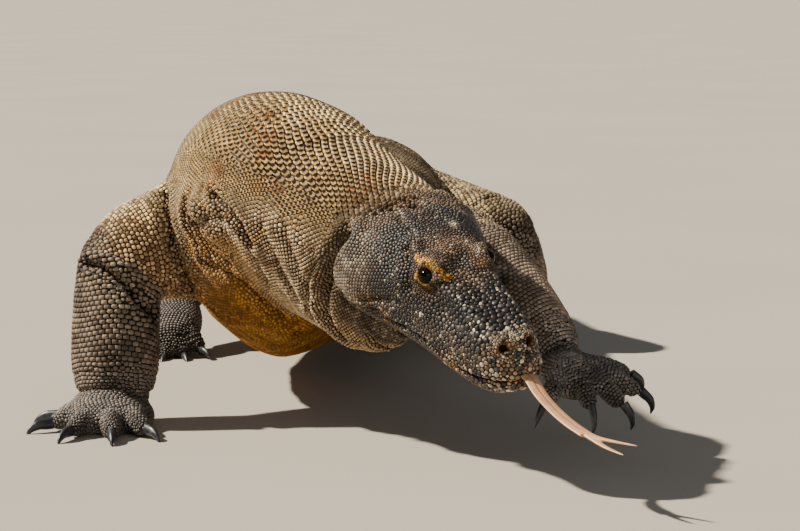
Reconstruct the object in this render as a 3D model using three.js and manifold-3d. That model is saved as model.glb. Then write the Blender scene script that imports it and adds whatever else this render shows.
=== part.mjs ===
// A life-size Komodo dragon in mid stride, as a still model.
//
// Millimetres, +Z up.  The animal walks towards -Y, so its right side is -X and its left side is +X.
// The body is laid out in a walking frame whose floor is z = 0 and whose y = 0 is the planted right
// hand.  At the end the whole animal is moved so that its origin is the middle of its box, on the floor.
//
// Every length of the body is a loft: rings of sections that follow a curve.  Neighbouring parts are
// trimmed against each other and keep a thin gap, so that each part is a solid of its own.

import * as THREE from 'three';
import { mergeVertices } from 'three/addons/utils/BufferGeometryUtils.js';
import Module from 'manifold-3d';

const wasm = await Module();
wasm.setup();

// ---------------------------------------------------------------------------------------------
// Driving dimensions
// ---------------------------------------------------------------------------------------------

const GAP = 0.35;                 // between neighbouring parts
const HEAD_LENGTH = 190;          // from the line between the ears to the tip of the snout
const EYE_RADIUS = 7.5;
const SOCKET_PLAY = 1.2;          // the socket is wider than the eye by this much

const SPINE_SIDES = 16;
const HEAD_SIDES = 24;
const LIMB_SIDES = 10;
const DIGIT_SIDES = 6;
const CLAW_SIDES = 5;

// Head pose: where the middle between the ears is, and how the head is turned.
const HEAD_AT = [0, -120, 171];
const HEAD_YAW = 30;              // degrees, snout turned from -Y towards the animal's left
const HEAD_PITCH = -23;           // degrees, snout lowered
const HEAD_ROLL = 14;             // degrees, left side of the head raised

// Stations of the neck, trunk and tail, from the head backwards.
// at: middle of the section; size: half width, height above and height below the middle.
const SPINE = [
  { at: [14, -142, 156], size: [42, 38, 66] },          // inside the back of the head
  { at: [-13, -98, 167], size: [58, 50, 94] },          // throat
  { at: [-52, -48, 179], size: [69, 64, 92] },
  { at: [-87, 4, 189], size: [81, 80, 92] },
  { at: [-105, 62, 176], size: [90, 97, 114] },         // shoulders
  { at: [-105, 150, 154], size: [101, 96, 118] },
  { at: [-98, 240, 142], size: [112, 90, 118] },
  { at: [-90, 330, 136], size: [122, 83, 113] },        // widest part of the belly
  { at: [-77, 430, 133], size: [121, 78, 106] },
  { at: [-60, 520, 134], size: [106, 74, 96] },
  { at: [-46, 590, 134], size: [88, 69, 82] },          // hips
  { at: [-36, 660, 127], size: [71, 63, 72] },
  { at: [-34, 760, 109], size: [54, 57, 63] },
  { at: [-44, 890, 79], size: [42, 50, 57] },
  { at: [-60, 1040, 50], size: [33, 42, 50] },          // from here the tail lies on the floor
  { at: [-72, 1200, 35], size: [25, 34, 36] },
  { at: [-66, 1370, 26], size: [18.5, 27, 27] },
  { at: [-38, 1540, 19], size: [13, 20, 20] },
  { at: [8, 1700, 12.5], size: [8.5, 13.5, 13.5] },
  { at: [62, 1840, 7], size: [5, 8, 8] },
  { at: [112, 1940, 4], size: [2.6, 4.2, 5] },
];

// The lengths that the spine is divided into: first and last station, and rings between them.
const SPINE_PARTS = [
  { node: 'neck', from: 0, to: 3.55, rings: 9 },
  { node: 'chest', from: 3.55, to: 6, rings: 7 },
  { node: 'belly', from: 6, to: 9, rings: 6 },
  { node: 'hips', from: 9, to: 11, rings: 4 },
  { node: 'tail_base', from: 11, to: 14.8, rings: 8 },
  { node: 'tail_middle', from: 14.8, to: 17, rings: 5 },
  { node: 'tail_tip', from: 17, to: 20, rings: 8, roundEnd: 0.06 },
];
const SPINE_CUT = 0.005;          // width of the cut between two lengths, in stations

// Sections of the head, in head lengths.  x: from the ears to the snout; z: the height of the widest
// line, which is the lips in front; size: half width, top and bottom from that line.
const HEAD_SECTIONS = [
  { x: -0.17, z: -0.06, size: [0.12, 0.12, 0.12] },
  { x: -0.12, z: -0.05, size: [0.21, 0.185, 0.2] },
  { x: -0.02, z: -0.045, size: [0.268, 0.235, 0.26] },
  { x: 0.10, z: -0.05, size: [0.285, 0.252, 0.25] },
  { x: 0.22, z: -0.06, size: [0.268, 0.262, 0.225] },
  { x: 0.34, z: -0.07, size: [0.235, 0.262, 0.195] },
  { x: 0.46, z: -0.08, size: [0.203, 0.254, 0.172] },
  { x: 0.58, z: -0.085, size: [0.176, 0.228, 0.164] },
  { x: 0.70, z: -0.085, size: [0.158, 0.205, 0.158] },
  { x: 0.81, z: -0.08, size: [0.146, 0.19, 0.142] },
  { x: 0.90, z: -0.075, size: [0.127, 0.172, 0.116] },
  { x: 0.96, z: -0.07, size: [0.094, 0.138, 0.084] },
  { x: 0.99, z: -0.065, size: [0.054, 0.09, 0.055] },
  { x: 1.0, z: -0.065, size: [0.02, 0.04, 0.02] },
];
const HEAD_SQUARENESS = 2.35;     // above 2 the sections have flatter tops and sides
const SPINE_SQUARENESS = [2.1, 1.6];        // rounder back, narrower keel of the belly

// Swellings of the head, in head lengths: middle (y is outwards on both sides), radius and height.
const HEAD_BUMPS = [
  { name: 'brow ridge', at: [0.47, 0.15, 0.165], radius: 0.125, height: 0.04 },
  { name: 'jaw muscle', at: [0.10, 0.29, -0.06], radius: 0.2, height: 0.03 },
  { name: 'nostril', at: [0.88, 0.12, 0.06], radius: 0.08, height: 0.012 },
  { name: 'temple', at: [0.30, 0.2, 0.12], radius: 0.1, height: -0.014 },
  { name: 'cheek in front of the eye', at: [0.64, 0.17, 0.04], radius: 0.1, height: -0.012 },
];

const EYE_AT = [0.482, 0.124, 0.122];       // in head lengths
const MOUTH_LINE = [                        // in head lengths, from the lips to the corner
  [1.1, -0.08], [0.97, -0.085], [0.83, -0.11], [0.72, -0.127], [0.6, -0.12], [0.45, -0.112], [0.27, -0.14],
];
const JAW_BACK = [0.12, -0.4];              // where the cut behind the lower jaw leaves the throat

// Tongue: from inside the lips to the fork, then the two tips.
const TONGUE_STEM = [
  [84, -252, 89], [92.8, -270, 84.2], [100, -284, 74.4], [109.4, -298, 65.4], [119.2, -312, 58.6],
  [129, -325, 53.7],
];
const TONGUE_STEM_SIZE = [5.9, 1.7, 1.7];
const TONGUE_TIP_SIZE = [3.6, 1.7, 1.7];
const TONGUE_TIP_SHARES = [1, 0.85, 0.6, 0.3];
const TONGUE_TIPS = [
  [[126, -320.5, 55.6], [135, -331, 53], [146, -340, 52], [162.4, -354, 51.3]],
  [[126, -320.5, 55.4], [132.6, -331, 52.2], [140.2, -343, 48.8], [152.2, -360, 46]],
];

// Limbs.  Each segment goes from one joint to the next; the sizes are radii: at the start, in the
// middle and at the end, across the limb and along the direction that the segment's hint names.
const ARM_RIGHT = {
  shoulder: [-134, 100, 158], elbow: [-237, 46, 138], wrist: [-236, 12, 33],
  upper: [[66, 68], [48, 51], [31, 31]], fore: [[33, 29], [37, 32], [38, 29]],
};
const ARM_LEFT = {
  shoulder: [-66, 82, 166], elbow: [60, -46, 153], wrist: [117, -124, 82],
  upper: [[54, 54], [38, 38], [29, 29]], fore: [[30, 30], [31, 32], [24, 21]],
};
const LEG_LEFT = {
  hip: [4, 580, 126], knee: [106, 446, 110], ankle: [131, 506, 30],
  thigh: [[56, 52], [49, 44], [36, 36]], shank: [[34, 36], [31, 36], [21, 24]],
};
const LEG_RIGHT = {
  hip: [-96, 596, 126], knee: [-218, 522, 122], ankle: [-216, 438, 54],
  thigh: [[56, 52], [49, 44], [36, 36]], shank: [[34, 36], [30, 33], [21, 24]],
};

// Hands and feet.  heel: middle of the palm or sole; forward and normal set its plane; side is +1 where
// the outer side of the foot is the animal's left.  Digits run from the first, on the inner side, to
// the fifth: turn in degrees from forward towards the outer side, reach from the heel to the claw.
const HAND_RIGHT = {
  node: 'hand_right', side: -1, heel: [-240, 2, 0], forward: [0, -1, 0], normal: [0, 0, 1],
  palm: [38, 37, 22], digitRadius: 8.8, clawLength: 23, clawRise: -14,
  digits: [
    { turn: -34, reach: 66 }, { turn: -8, reach: 70 }, { turn: 22, reach: 64 },
    { turn: 60, reach: 52 }, { turn: 102, reach: 45 },
  ],
};
const HAND_LEFT = {
  node: 'hand_left', side: 1,
  heel: [126, -142, 66], forward: [0.55, -0.68, -0.48], normal: [0.22, -0.44, 0.87],
  palm: [24, 25, 14.5], digitRadius: 7.4, clawLength: 19, clawRise: -44,
  digits: [
    { turn: -56, reach: 56 }, { turn: -14, reach: 48 }, { turn: 17, reach: 55 },
    { turn: 43, reach: 60 }, { turn: 64, reach: 53 },
  ],
};
const FOOT_LEFT = {
  node: 'foot_left', side: 1, heel: [122, 470, 0], forward: [-0.06, -0.998, 0], normal: [0, 0, 1],
  palm: [30, 52, 22], digitRadius: 9.2, clawLength: 22, clawRise: -14,
  digits: [
    { turn: -34, reach: 62 }, { turn: -13, reach: 80 }, { turn: 6, reach: 94 },
    { turn: 24, reach: 98 }, { turn: 46, reach: 56 },
  ],
};
const FOOT_RIGHT = {
  node: 'foot_right', side: -1,
  heel: [-222, 414, 27], forward: [0, -0.84, -0.54], normal: [0, -0.54, 0.84],
  palm: [27, 44, 20], digitRadius: 8.6, clawLength: 21, clawRise: 22,
  digits: [
    { turn: -31, reach: 56 }, { turn: -13, reach: 58 }, { turn: 6, reach: 58 },
    { turn: 27, reach: 60 }, { turn: 52, reach: 56 },
  ],
};
const PALM_FORWARD = 6;           // the middle of the palm lies this far in front of the heel
const PALM_HEIGHT = 0.42;         // and this share of the palm's half height above the sole

// A digit from the palm to its claw, in digit radii: how far out, how high, and the section there.
const DIGIT_PROFILE = [
  { share: 0, extra: 8, height: 1.6, size: [1.25, 1.1, 1.3] },
  { share: 0.5, extra: 4, height: 1.5, size: [1.02, 1, 1.1] },
  { share: 0.8, extra: 0, height: 1.05, size: [0.92, 0.92, 0.98] },
  { share: 1, extra: 0, height: 0.76, size: [0.7, 0.7, 0.76] },
];

// A claw from its root to its tip: how far out in claw lengths, how much it arches, how thick it is.
const CLAW_PROFILE = [
  { along: -0.1, lift: 0, share: 1 },
  { along: 0.4, lift: 2.2, share: 0.82 },
  { along: 0.75, lift: 0.6, share: 0.5 },
  { along: 1, lift: -3.4, share: 0.12 },
];
const CLAW_SECTION = [0.42, 0.58, 0.58];    // half width and heights at the root, in digit radii

const KNUCKLE_REACH = 0.8;        // a limb's rounded end passes its joint by this share of its radius
const LONGEST_ROUNDING = 0.45;    // share of a limb that a rounded end may take
const FINEST_SHARE = 0.04;        // a rounded end stops at this share of its section
const MERGE_DISTANCE = 0.001;

// ---------------------------------------------------------------------------------------------
// Colours and finishes
// ---------------------------------------------------------------------------------------------

const SKIN_DARK = new THREE.MeshStandardMaterial({ color: 0x45403b, roughness: 0.75, metalness: 0 });
const SKIN_SAND = new THREE.MeshStandardMaterial({ color: 0x6d5f4c, roughness: 0.8, metalness: 0 });
const SKIN_LIMB = new THREE.MeshStandardMaterial({ color: 0x575048, roughness: 0.8, metalness: 0 });
const EYE_DARK = new THREE.MeshStandardMaterial({ color: 0x1c0f08, roughness: 0.08, metalness: 0 });
const CLAW_HORN = new THREE.MeshStandardMaterial({ color: 0x23262b, roughness: 0.35, metalness: 0 });
const TONGUE_FLESH = new THREE.MeshStandardMaterial({ color: 0xd9a98a, roughness: 0.4, metalness: 0 });

// ---------------------------------------------------------------------------------------------
// Lofts
// ---------------------------------------------------------------------------------------------

const vec = (point) => new THREE.Vector3(...point);
const UP = new THREE.Vector3(0, 0, 1);

// Two directions across a tangent: `across`, and `over`, which is as near to the hint as it can be.
function crossFrame(tangent, hint) {
  const across = new THREE.Vector3().crossVectors(tangent, hint).normalize();
  const over = new THREE.Vector3().crossVectors(across, tangent).normalize();
  return { across, over };
}

// A point of a superellipse with its own heights above and below the middle.
function sectionPoint(angle, [halfWidth, above, below], squareness) {
  const c = Math.cos(angle);
  const s = Math.sin(angle);
  const power = 2 / (s < 0 ? squareness[1] : squareness[0]);
  const height = s < 0 ? below : above;
  return [
    halfWidth * Math.sign(c) * Math.abs(c) ** power,
    height * Math.sign(s) * Math.abs(s) ** power,
  ];
}

// How much a section shrinks near a rounded end: a quarter circle over the share `round` of the length.
function endRounding(t, roundStart, roundEnd) {
  const start = roundStart > 0 ? Math.min(1, t / roundStart) : 1;
  const end = roundEnd > 0 ? Math.min(1, (1 - t) / roundEnd) : 1;
  const quarter = (share) => Math.sqrt(Math.max(FINEST_SHARE ** 2, 1 - (1 - share) ** 2));
  return quarter(start) * quarter(end);
}

// A closed body of rings along a curve through the stations.  It starts as a cylinder, and every vertex
// moves to its place on the section at its own share t of the length.
function loft(stations, options = {}) {
  const {
    sides = SPINE_SIDES, rings = 20, hint = UP, squareness = [2, 2], grow = 0,
    from = 0, to = 1, roundStart = 0, roundEnd = 0, shape = null,
  } = options;
  const path = new THREE.CatmullRomCurve3(stations.map((station) => vec(station.at)));
  const sizes = new THREE.CatmullRomCurve3(stations.map((station) => vec(station.size)));
  const rounded = roundStart > 0 || roundEnd > 0;
  const geometry = new THREE.CylinderGeometry(1, 1, 1, sides, rings);
  const position = geometry.getAttribute('position');
  for (let i = 0; i < position.count; i += 1) {
    const local = new THREE.Vector3().fromBufferAttribute(position, i);
    const share = local.y + 0.5;
    const eased = rounded ? (1 - Math.cos(Math.PI * share)) / 2 : share;
    const t = from + (to - from) * eased;
    const centre = path.getPoint(t);
    const { across, over } = crossFrame(path.getTangent(t), hint);
    if (Math.hypot(local.x, local.z) > 0.5) {
      const shrink = endRounding(eased, roundStart, roundEnd);
      const size = sizes.getPoint(t).toArray().map((value) => value * shrink + grow);
      const [x, z] = sectionPoint(Math.atan2(local.z, local.x), size, squareness);
      centre.addScaledVector(across, x).addScaledVector(over, z);
    }
    if (shape) shape(centre);
    position.setXYZ(i, centre.x, centre.y, centre.z);
  }
  return geometry;
}

// ---------------------------------------------------------------------------------------------
// Solids
// ---------------------------------------------------------------------------------------------

function toSolid(geometry) {
  const bare = geometry.clone();
  bare.deleteAttribute('normal');
  bare.deleteAttribute('uv');
  const merged = mergeVertices(bare, MERGE_DISTANCE);
  return new wasm.Manifold(new wasm.Mesh({
    numProp: 3,
    vertProperties: Float32Array.from(merged.getAttribute('position').array),
    triVerts: Uint32Array.from(merged.index.array),
  }));
}

function toGeometry(solid) {
  const mesh = solid.getMesh();
  const positions = new THREE.BufferAttribute(Float32Array.from(mesh.vertProperties), 3);
  const geometry = new THREE.BufferGeometry();
  geometry.setAttribute('position', positions);
  geometry.setIndex(new THREE.BufferAttribute(Uint32Array.from(mesh.triVerts), 1));
  return geometry;
}

function joined(solids) {
  return solids.reduce((all, solid) => all.add(solid));
}

function without(solid, cutters) {
  return cutters.reduce((rest, cutter) => rest.subtract(cutter), solid);
}

// Everything below the floor, so that what stands on it ends in flats at one level.
function belowFloor() {
  const size = 6000;              // wider than the animal
  return toSolid(new THREE.BoxGeometry(size, size, size).translate(0, 0, -size / 2));
}

const EARTH = belowFloor();

// The biggest piece of a solid: a trim can leave slivers behind.
function mainPiece(solid) {
  const pieces = solid.decompose();
  return pieces.reduce((best, piece) => (piece.volume() > best.volume() ? piece : best));
}

// ---------------------------------------------------------------------------------------------
// Head
// ---------------------------------------------------------------------------------------------

// The head's own frame: x to the snout, y to the animal's left, z to the crown, in millimetres.
function headMatrix() {
  const yaw = THREE.MathUtils.degToRad(HEAD_YAW);
  const pitch = THREE.MathUtils.degToRad(HEAD_PITCH);
  const roll = THREE.MathUtils.degToRad(HEAD_ROLL);
  const forward = new THREE.Vector3(
    Math.sin(yaw) * Math.cos(pitch), -Math.cos(yaw) * Math.cos(pitch), Math.sin(pitch),
  );
  const level = new THREE.Vector3(Math.cos(yaw), Math.sin(yaw), 0);
  const crown = new THREE.Vector3().crossVectors(forward, level);
  const left = level.clone().multiplyScalar(Math.cos(roll)).addScaledVector(crown, Math.sin(roll));
  const top = new THREE.Vector3().crossVectors(forward, left);
  return new THREE.Matrix4().makeBasis(forward, left, top).setPosition(vec(HEAD_AT));
}

const HEAD_MATRIX = headMatrix();

// Swell or hollow the head round each named place, on both sides alike.
function shapeHead(point) {
  const side = Math.sign(point.y) || 1;
  const place = new THREE.Vector3(point.x, Math.abs(point.y), point.z).divideScalar(HEAD_LENGTH);
  const outwards = new THREE.Vector3(0, place.y, place.z);
  if (outwards.lengthSq() < 1e-6) return;
  outwards.normalize();
  for (const bump of HEAD_BUMPS) {
    const reach = place.distanceTo(vec(bump.at)) / bump.radius;
    if (reach < 1) {
      const push = bump.height * HEAD_LENGTH * (1 - reach * reach) ** 2;
      point.y += side * outwards.y * push;
      point.z += outwards.z * push;
    }
  }
}

function headLoft(grow) {
  const stations = HEAD_SECTIONS.map(({ x, z, size }) => ({
    at: [x * HEAD_LENGTH, 0, z * HEAD_LENGTH],
    size: size.map((value) => value * HEAD_LENGTH),
  }));
  const squareness = [HEAD_SQUARENESS, HEAD_SQUARENESS];
  const geometry = loft(stations, { sides: HEAD_SIDES, rings: 20, squareness, grow, shape: shapeHead });
  return toSolid(geometry.applyMatrix4(HEAD_MATRIX));
}

// The space below the mouth line and in front of the jaw's back, lowered by `drop`.
function underMouth(drop) {
  const outline = new THREE.Shape();
  const points = MOUTH_LINE.map(([x, z]) => [x * HEAD_LENGTH, z * HEAD_LENGTH - drop]);
  const back = [JAW_BACK[0] * HEAD_LENGTH + drop, JAW_BACK[1] * HEAD_LENGTH];
  outline.moveTo(...points[0]);
  points.slice(1).forEach((point) => outline.lineTo(...point));
  outline.lineTo(...back);
  outline.lineTo(points[0][0], back[1]);
  outline.closePath();
  const width = HEAD_LENGTH;
  const geometry = new THREE.ExtrudeGeometry(outline, { depth: width, bevelEnabled: false });
  geometry.translate(0, 0, -width / 2).rotateX(Math.PI / 2);
  return toSolid(geometry.applyMatrix4(HEAD_MATRIX));
}

function eyeCentre(side) {
  const [x, y, z] = EYE_AT;
  return new THREE.Vector3(x, side * y, z).multiplyScalar(HEAD_LENGTH).applyMatrix4(HEAD_MATRIX);
}

function eyeball(side, radius) {
  const geometry = new THREE.SphereGeometry(radius, 10, 6);
  const centre = eyeCentre(side);
  return toSolid(geometry.translate(centre.x, centre.y, centre.z));
}

function tongue(grow) {
  const sized = (points, size) => points.map((at) => ({ at, size }));
  const stem = loft(sized(TONGUE_STEM, TONGUE_STEM_SIZE), { sides: 7, rings: 6, grow });
  const tips = TONGUE_TIPS.map((points) => {
    const stations = points.map((at, i) => ({
      at,
      size: TONGUE_TIP_SIZE.map((value) => value * TONGUE_TIP_SHARES[i]),
    }));
    return loft(stations, { sides: 6, rings: 5, grow });
  });
  return joined([stem, ...tips].map(toSolid));
}

// ---------------------------------------------------------------------------------------------
// Neck, trunk and tail
// ---------------------------------------------------------------------------------------------

// One loft over all stations, cut into lengths by station numbers, has no step at the cuts.
function spineLength({ from, to, rings, roundEnd = 0 }, grow = 0) {
  const last = SPINE.length - 1;
  return toSolid(loft(SPINE, {
    from: from / last, to: to / last, rings, roundEnd, grow,
    sides: SPINE_SIDES, squareness: SPINE_SQUARENESS,
  }));
}

// The neck and trunk, swollen by the gap, for trimming the limbs.
function trunkSpaces() {
  return SPINE_PARTS.slice(0, 4).map((part) => spineLength(part, GAP));
}

// ---------------------------------------------------------------------------------------------
// Limbs
// ---------------------------------------------------------------------------------------------

function limbSegment(start, end, radii, hint, grow) {
  const length = vec(start).distanceTo(vec(end));
  const along = vec(end).sub(vec(start)).normalize();
  const places = [
    vec(start).addScaledVector(along, -KNUCKLE_REACH * radii[0][0]),
    vec(start).lerp(vec(end), 0.5),
    vec(end).addScaledVector(along, KNUCKLE_REACH * radii[2][0]),
  ];
  const stations = places.map((place, i) => ({
    at: place.toArray(),
    size: [radii[i][0], radii[i][1], radii[i][1]],
  }));
  const rounding = (radius) => Math.min(LONGEST_ROUNDING, radius / length);
  return toSolid(loft(stations, {
    sides: LIMB_SIDES, rings: 6, hint: vec(hint), grow,
    roundStart: rounding(radii[0][0]), roundEnd: rounding(radii[2][0]),
  }));
}

// ---------------------------------------------------------------------------------------------
// Hands, feet and claws
// ---------------------------------------------------------------------------------------------

// A place on a hand or foot: forward and outwards from its heel, and above its sole.
function pawPoint(paw, forwardBy, outBy, height) {
  const forward = vec(paw.forward).normalize();
  const normal = vec(paw.normal).normalize();
  const out = new THREE.Vector3().crossVectors(normal, forward).normalize().multiplyScalar(paw.side);
  return vec(paw.heel)
    .addScaledVector(forward, forwardBy)
    .addScaledVector(out, outBy)
    .addScaledVector(normal, height);
}

function digitPoint(paw, digit, reach, height) {
  const turn = THREE.MathUtils.degToRad(digit.turn);
  return pawPoint(paw, reach * Math.cos(turn), reach * Math.sin(turn), height);
}

function digitSolid(paw, digit, grow) {
  const r = paw.digitRadius;
  const stations = DIGIT_PROFILE.map(({ share, extra, height, size }) => ({
    at: digitPoint(paw, digit, share * digit.reach + extra, height * r).toArray(),
    size: size.map((value) => value * r),
  }));
  return toSolid(loft(stations, {
    sides: DIGIT_SIDES, rings: 4, hint: vec(paw.normal), grow,
  }));
}

function clawSolid(paw, digit) {
  const r = paw.digitRadius;
  const rise = THREE.MathUtils.degToRad(paw.clawRise);
  const rootHeight = DIGIT_PROFILE[DIGIT_PROFILE.length - 1].height * r;
  const stations = CLAW_PROFILE.map(({ along, lift, share }) => {
    const out = along * paw.clawLength;
    const reach = digit.reach + out * Math.cos(rise) - lift * Math.sin(rise);
    const height = rootHeight + out * Math.sin(rise) + lift * Math.cos(rise);
    return {
      at: digitPoint(paw, digit, reach, height).toArray(),
      size: CLAW_SECTION.map((value) => value * r * share),
    };
  });
  return toSolid(loft(stations, { sides: CLAW_SIDES, rings: 3, hint: vec(paw.normal) }));
}

function palmSolid(paw) {
  const [halfWidth, halfLength, height] = paw.palm;
  const geometry = new THREE.SphereGeometry(1, 9, 5).scale(halfWidth, halfLength, height);
  const middle = pawPoint(paw, PALM_FORWARD, 0, PALM_HEIGHT * height);
  const forward = vec(paw.forward).normalize();
  const normal = vec(paw.normal).normalize();
  const across = new THREE.Vector3().crossVectors(forward, normal);
  const place = new THREE.Matrix4().makeBasis(across, forward, normal).setPosition(middle);
  return toSolid(geometry.applyMatrix4(place));
}

// ---------------------------------------------------------------------------------------------
// The animal
// ---------------------------------------------------------------------------------------------

const animal = new THREE.Group();

function addNode(name, solid, material) {
  const mesh = new THREE.Mesh(toGeometry(solid), material);
  mesh.name = name;
  animal.add(mesh);
}

function buildHead() {
  const whole = headLoft(0);
  const sockets = [-1, 1].map((side) => eyeball(side, EYE_RADIUS + SOCKET_PLAY));
  const mouthSlot = tongue(GAP);
  const skull = without(whole, [underMouth(0), ...sockets, mouthSlot]);
  const jaw = without(whole.intersect(underMouth(GAP)), [mouthSlot]);
  addNode('head', mainPiece(skull), SKIN_DARK);
  addNode('lower_jaw', mainPiece(jaw), SKIN_DARK);
  addNode('eye_right', eyeball(-1, EYE_RADIUS), EYE_DARK);
  addNode('eye_left', eyeball(1, EYE_RADIUS), EYE_DARK);
  addNode('tongue', tongue(0), TONGUE_FLESH);
}

function buildSpine() {
  for (const part of SPINE_PARTS) {
    const solid = spineLength({ ...part, to: part.to - SPINE_CUT });
    const trimmed = part.node === 'neck' ? solid.subtract(headLoft(GAP)) : solid.subtract(EARTH);
    addNode(part.node, mainPiece(trimmed), SKIN_SAND);
  }
}

// A limb of two segments and a paw.  Each part gives way to the one before it.
function buildLimb(names, joints, radii, hints, paw, bodySpace) {
  const [start, bend, end] = joints;
  const upperWhole = (grow) => limbSegment(start, bend, radii[0], hints[0], grow);
  const lowerWhole = (grow) => limbSegment(bend, end, radii[1], hints[1], grow);
  const upper = without(upperWhole(0), bodySpace);
  const lower = without(lowerWhole(0), [upperWhole(GAP), ...bodySpace, EARTH]);
  addNode(names[0], mainPiece(upper), SKIN_LIMB);
  addNode(names[1], mainPiece(lower), SKIN_LIMB);
  const claws = paw.digits.map((digit) => clawSolid(paw, digit));
  const flesh = joined([palmSolid(paw), ...paw.digits.map((digit) => digitSolid(paw, digit, 0))]);
  const pawSolid = without(flesh, [lowerWhole(GAP), EARTH]);
  addNode(paw.node, mainPiece(pawSolid), SKIN_LIMB);
  const longer = (digit) => ({ ...digit, reach: digit.reach + GAP });
  const pawSpace = joined(paw.digits.map((digit) => digitSolid(paw, longer(digit), GAP)));
  claws.forEach((claw, i) => {
    const trimmed = without(claw, [pawSpace, palmSolid(paw), EARTH]);
    addNode(`claw_${paw.node}_${i + 1}`, mainPiece(trimmed), CLAW_HORN);
  });
}

function buildLimbs() {
  const trunkSpace = [...trunkSpaces(), headLoft(GAP)];
  const arms = [[ARM_RIGHT, HAND_RIGHT, 'right'], [ARM_LEFT, HAND_LEFT, 'left']];
  for (const [arm, hand, side] of arms) {
    const joints = [arm.shoulder, arm.elbow, arm.wrist];
    const names = [`upper_arm_${side}`, `forearm_${side}`];
    buildLimb(names, joints, [arm.upper, arm.fore], [[0, 0, 1], [0, -1, 0.2]], hand, trunkSpace);
  }
  const legs = [[LEG_RIGHT, FOOT_RIGHT, 'right'], [LEG_LEFT, FOOT_LEFT, 'left']];
  for (const [leg, foot, side] of legs) {
    const joints = [leg.hip, leg.knee, leg.ankle];
    const names = [`thigh_${side}`, `shank_${side}`];
    buildLimb(names, joints, [leg.thigh, leg.shank], [[0, 0, 1], [0, -1, 0]], foot, trunkSpace);
  }
}

buildHead();
buildSpine();
buildLimbs();

// Origin: the middle of the animal's box, on the floor.
const box = new THREE.Box3().setFromObject(animal);
const middle = box.getCenter(new THREE.Vector3());
animal.position.set(-middle.x, -middle.y, -box.min.z);

const group = new THREE.Group();
group.add(animal);

export default group;
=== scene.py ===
"""Komodo dragon: skin, scales, eyes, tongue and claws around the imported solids.

The skeleton of the body is a set of lofts: rings of sections along curves.  The skin is grown from the
lofts as one mesh, its folds, lids, lips and nostrils are sculpted, and solid scales are laid over it.
"""

import math

import bmesh
import bpy
import numpy as np
from bpy.props import FloatProperty, FloatVectorProperty, IntProperty, PointerProperty
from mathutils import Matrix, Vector
from mathutils.bvhtree import BVHTree
from mathutils.kdtree import KDTree


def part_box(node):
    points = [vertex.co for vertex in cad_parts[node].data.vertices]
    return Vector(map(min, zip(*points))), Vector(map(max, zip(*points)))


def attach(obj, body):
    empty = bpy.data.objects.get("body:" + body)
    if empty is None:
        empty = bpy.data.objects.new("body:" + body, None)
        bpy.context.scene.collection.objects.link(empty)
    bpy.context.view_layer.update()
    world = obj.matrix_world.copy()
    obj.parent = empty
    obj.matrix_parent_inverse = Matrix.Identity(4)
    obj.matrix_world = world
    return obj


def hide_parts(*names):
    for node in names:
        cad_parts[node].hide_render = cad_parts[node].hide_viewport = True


bl_info = {
    "name": "Komodo dragon",
    "version": (1, 0, 0),
    "blender": (4, 5, 0),
    "location": "View3D > Sidebar > Dragon",
    "description": "Builds the skin, scales, eyes, tongue and claws of a life-size Komodo dragon",
    "category": "Add Mesh",
}

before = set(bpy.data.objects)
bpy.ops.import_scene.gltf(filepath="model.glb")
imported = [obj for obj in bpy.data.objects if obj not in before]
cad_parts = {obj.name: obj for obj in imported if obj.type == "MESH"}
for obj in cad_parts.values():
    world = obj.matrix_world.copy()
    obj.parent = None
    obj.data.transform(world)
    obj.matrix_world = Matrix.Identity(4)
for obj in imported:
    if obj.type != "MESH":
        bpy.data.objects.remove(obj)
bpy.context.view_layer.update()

MM = 0.001


# ---- Skeleton, in millimetres of the walking frame: floor at z = 0, the animal walks towards -Y ----

HEAD_LENGTH = 190.0
HEAD_AT = (0, -120, 171)
HEAD_YAW, HEAD_PITCH, HEAD_ROLL = 30, -23, 14       # degrees
EYE_AT = (0.482, 0.124, 0.122)                      # head lengths, y outwards
EYE_RADIUS = 7.5

# Neck, trunk and tail: middle of each section, and its half width and heights above and below.
SPINE = [
    ((14, -142, 156), (42, 38, 66)), ((-13, -98, 167), (58, 50, 94)), ((-52, -48, 179), (69, 64, 92)),
    ((-87, 4, 189), (81, 80, 92)), ((-105, 62, 176), (90, 97, 114)), ((-105, 150, 154), (101, 96, 118)),
    ((-98, 240, 142), (112, 90, 118)), ((-90, 330, 136), (122, 83, 113)),
    ((-77, 430, 133), (121, 78, 106)), ((-60, 520, 134), (106, 74, 96)), ((-46, 590, 134), (88, 69, 82)),
    ((-36, 660, 127), (71, 63, 72)), ((-34, 760, 109), (54, 57, 63)), ((-44, 890, 79), (42, 50, 57)),
    ((-60, 1040, 50), (33, 42, 50)), ((-72, 1200, 35), (25, 34, 36)), ((-66, 1370, 26), (18.5, 27, 27)),
    ((-38, 1540, 19), (13, 20, 20)), ((8, 1700, 12.5), (8.5, 13.5, 13.5)), ((62, 1840, 7), (5, 8, 8)),
    ((112, 1940, 4), (2.6, 4.2, 5)),
]

SPINE_SQUARENESS = (2.1, 1.6)

# Head, in head lengths: x from the ears to the snout, z of the widest line, half width, top, bottom.
HEAD_SECTIONS = [
    (-0.17, -0.06, (0.12, 0.12, 0.12)), (-0.12, -0.05, (0.21, 0.185, 0.2)),
    (-0.02, -0.045, (0.268, 0.235, 0.26)), (0.10, -0.05, (0.285, 0.252, 0.25)),
    (0.22, -0.06, (0.268, 0.262, 0.225)), (0.34, -0.07, (0.235, 0.262, 0.195)),
    (0.46, -0.08, (0.203, 0.254, 0.172)), (0.58, -0.085, (0.176, 0.228, 0.164)),
    (0.70, -0.085, (0.158, 0.205, 0.158)), (0.81, -0.08, (0.146, 0.19, 0.142)),
    (0.90, -0.075, (0.127, 0.172, 0.116)), (0.96, -0.07, (0.094, 0.138, 0.084)),
    (0.99, -0.065, (0.054, 0.09, 0.055)), (1.0, -0.065, (0.02, 0.04, 0.02)),
]

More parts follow.
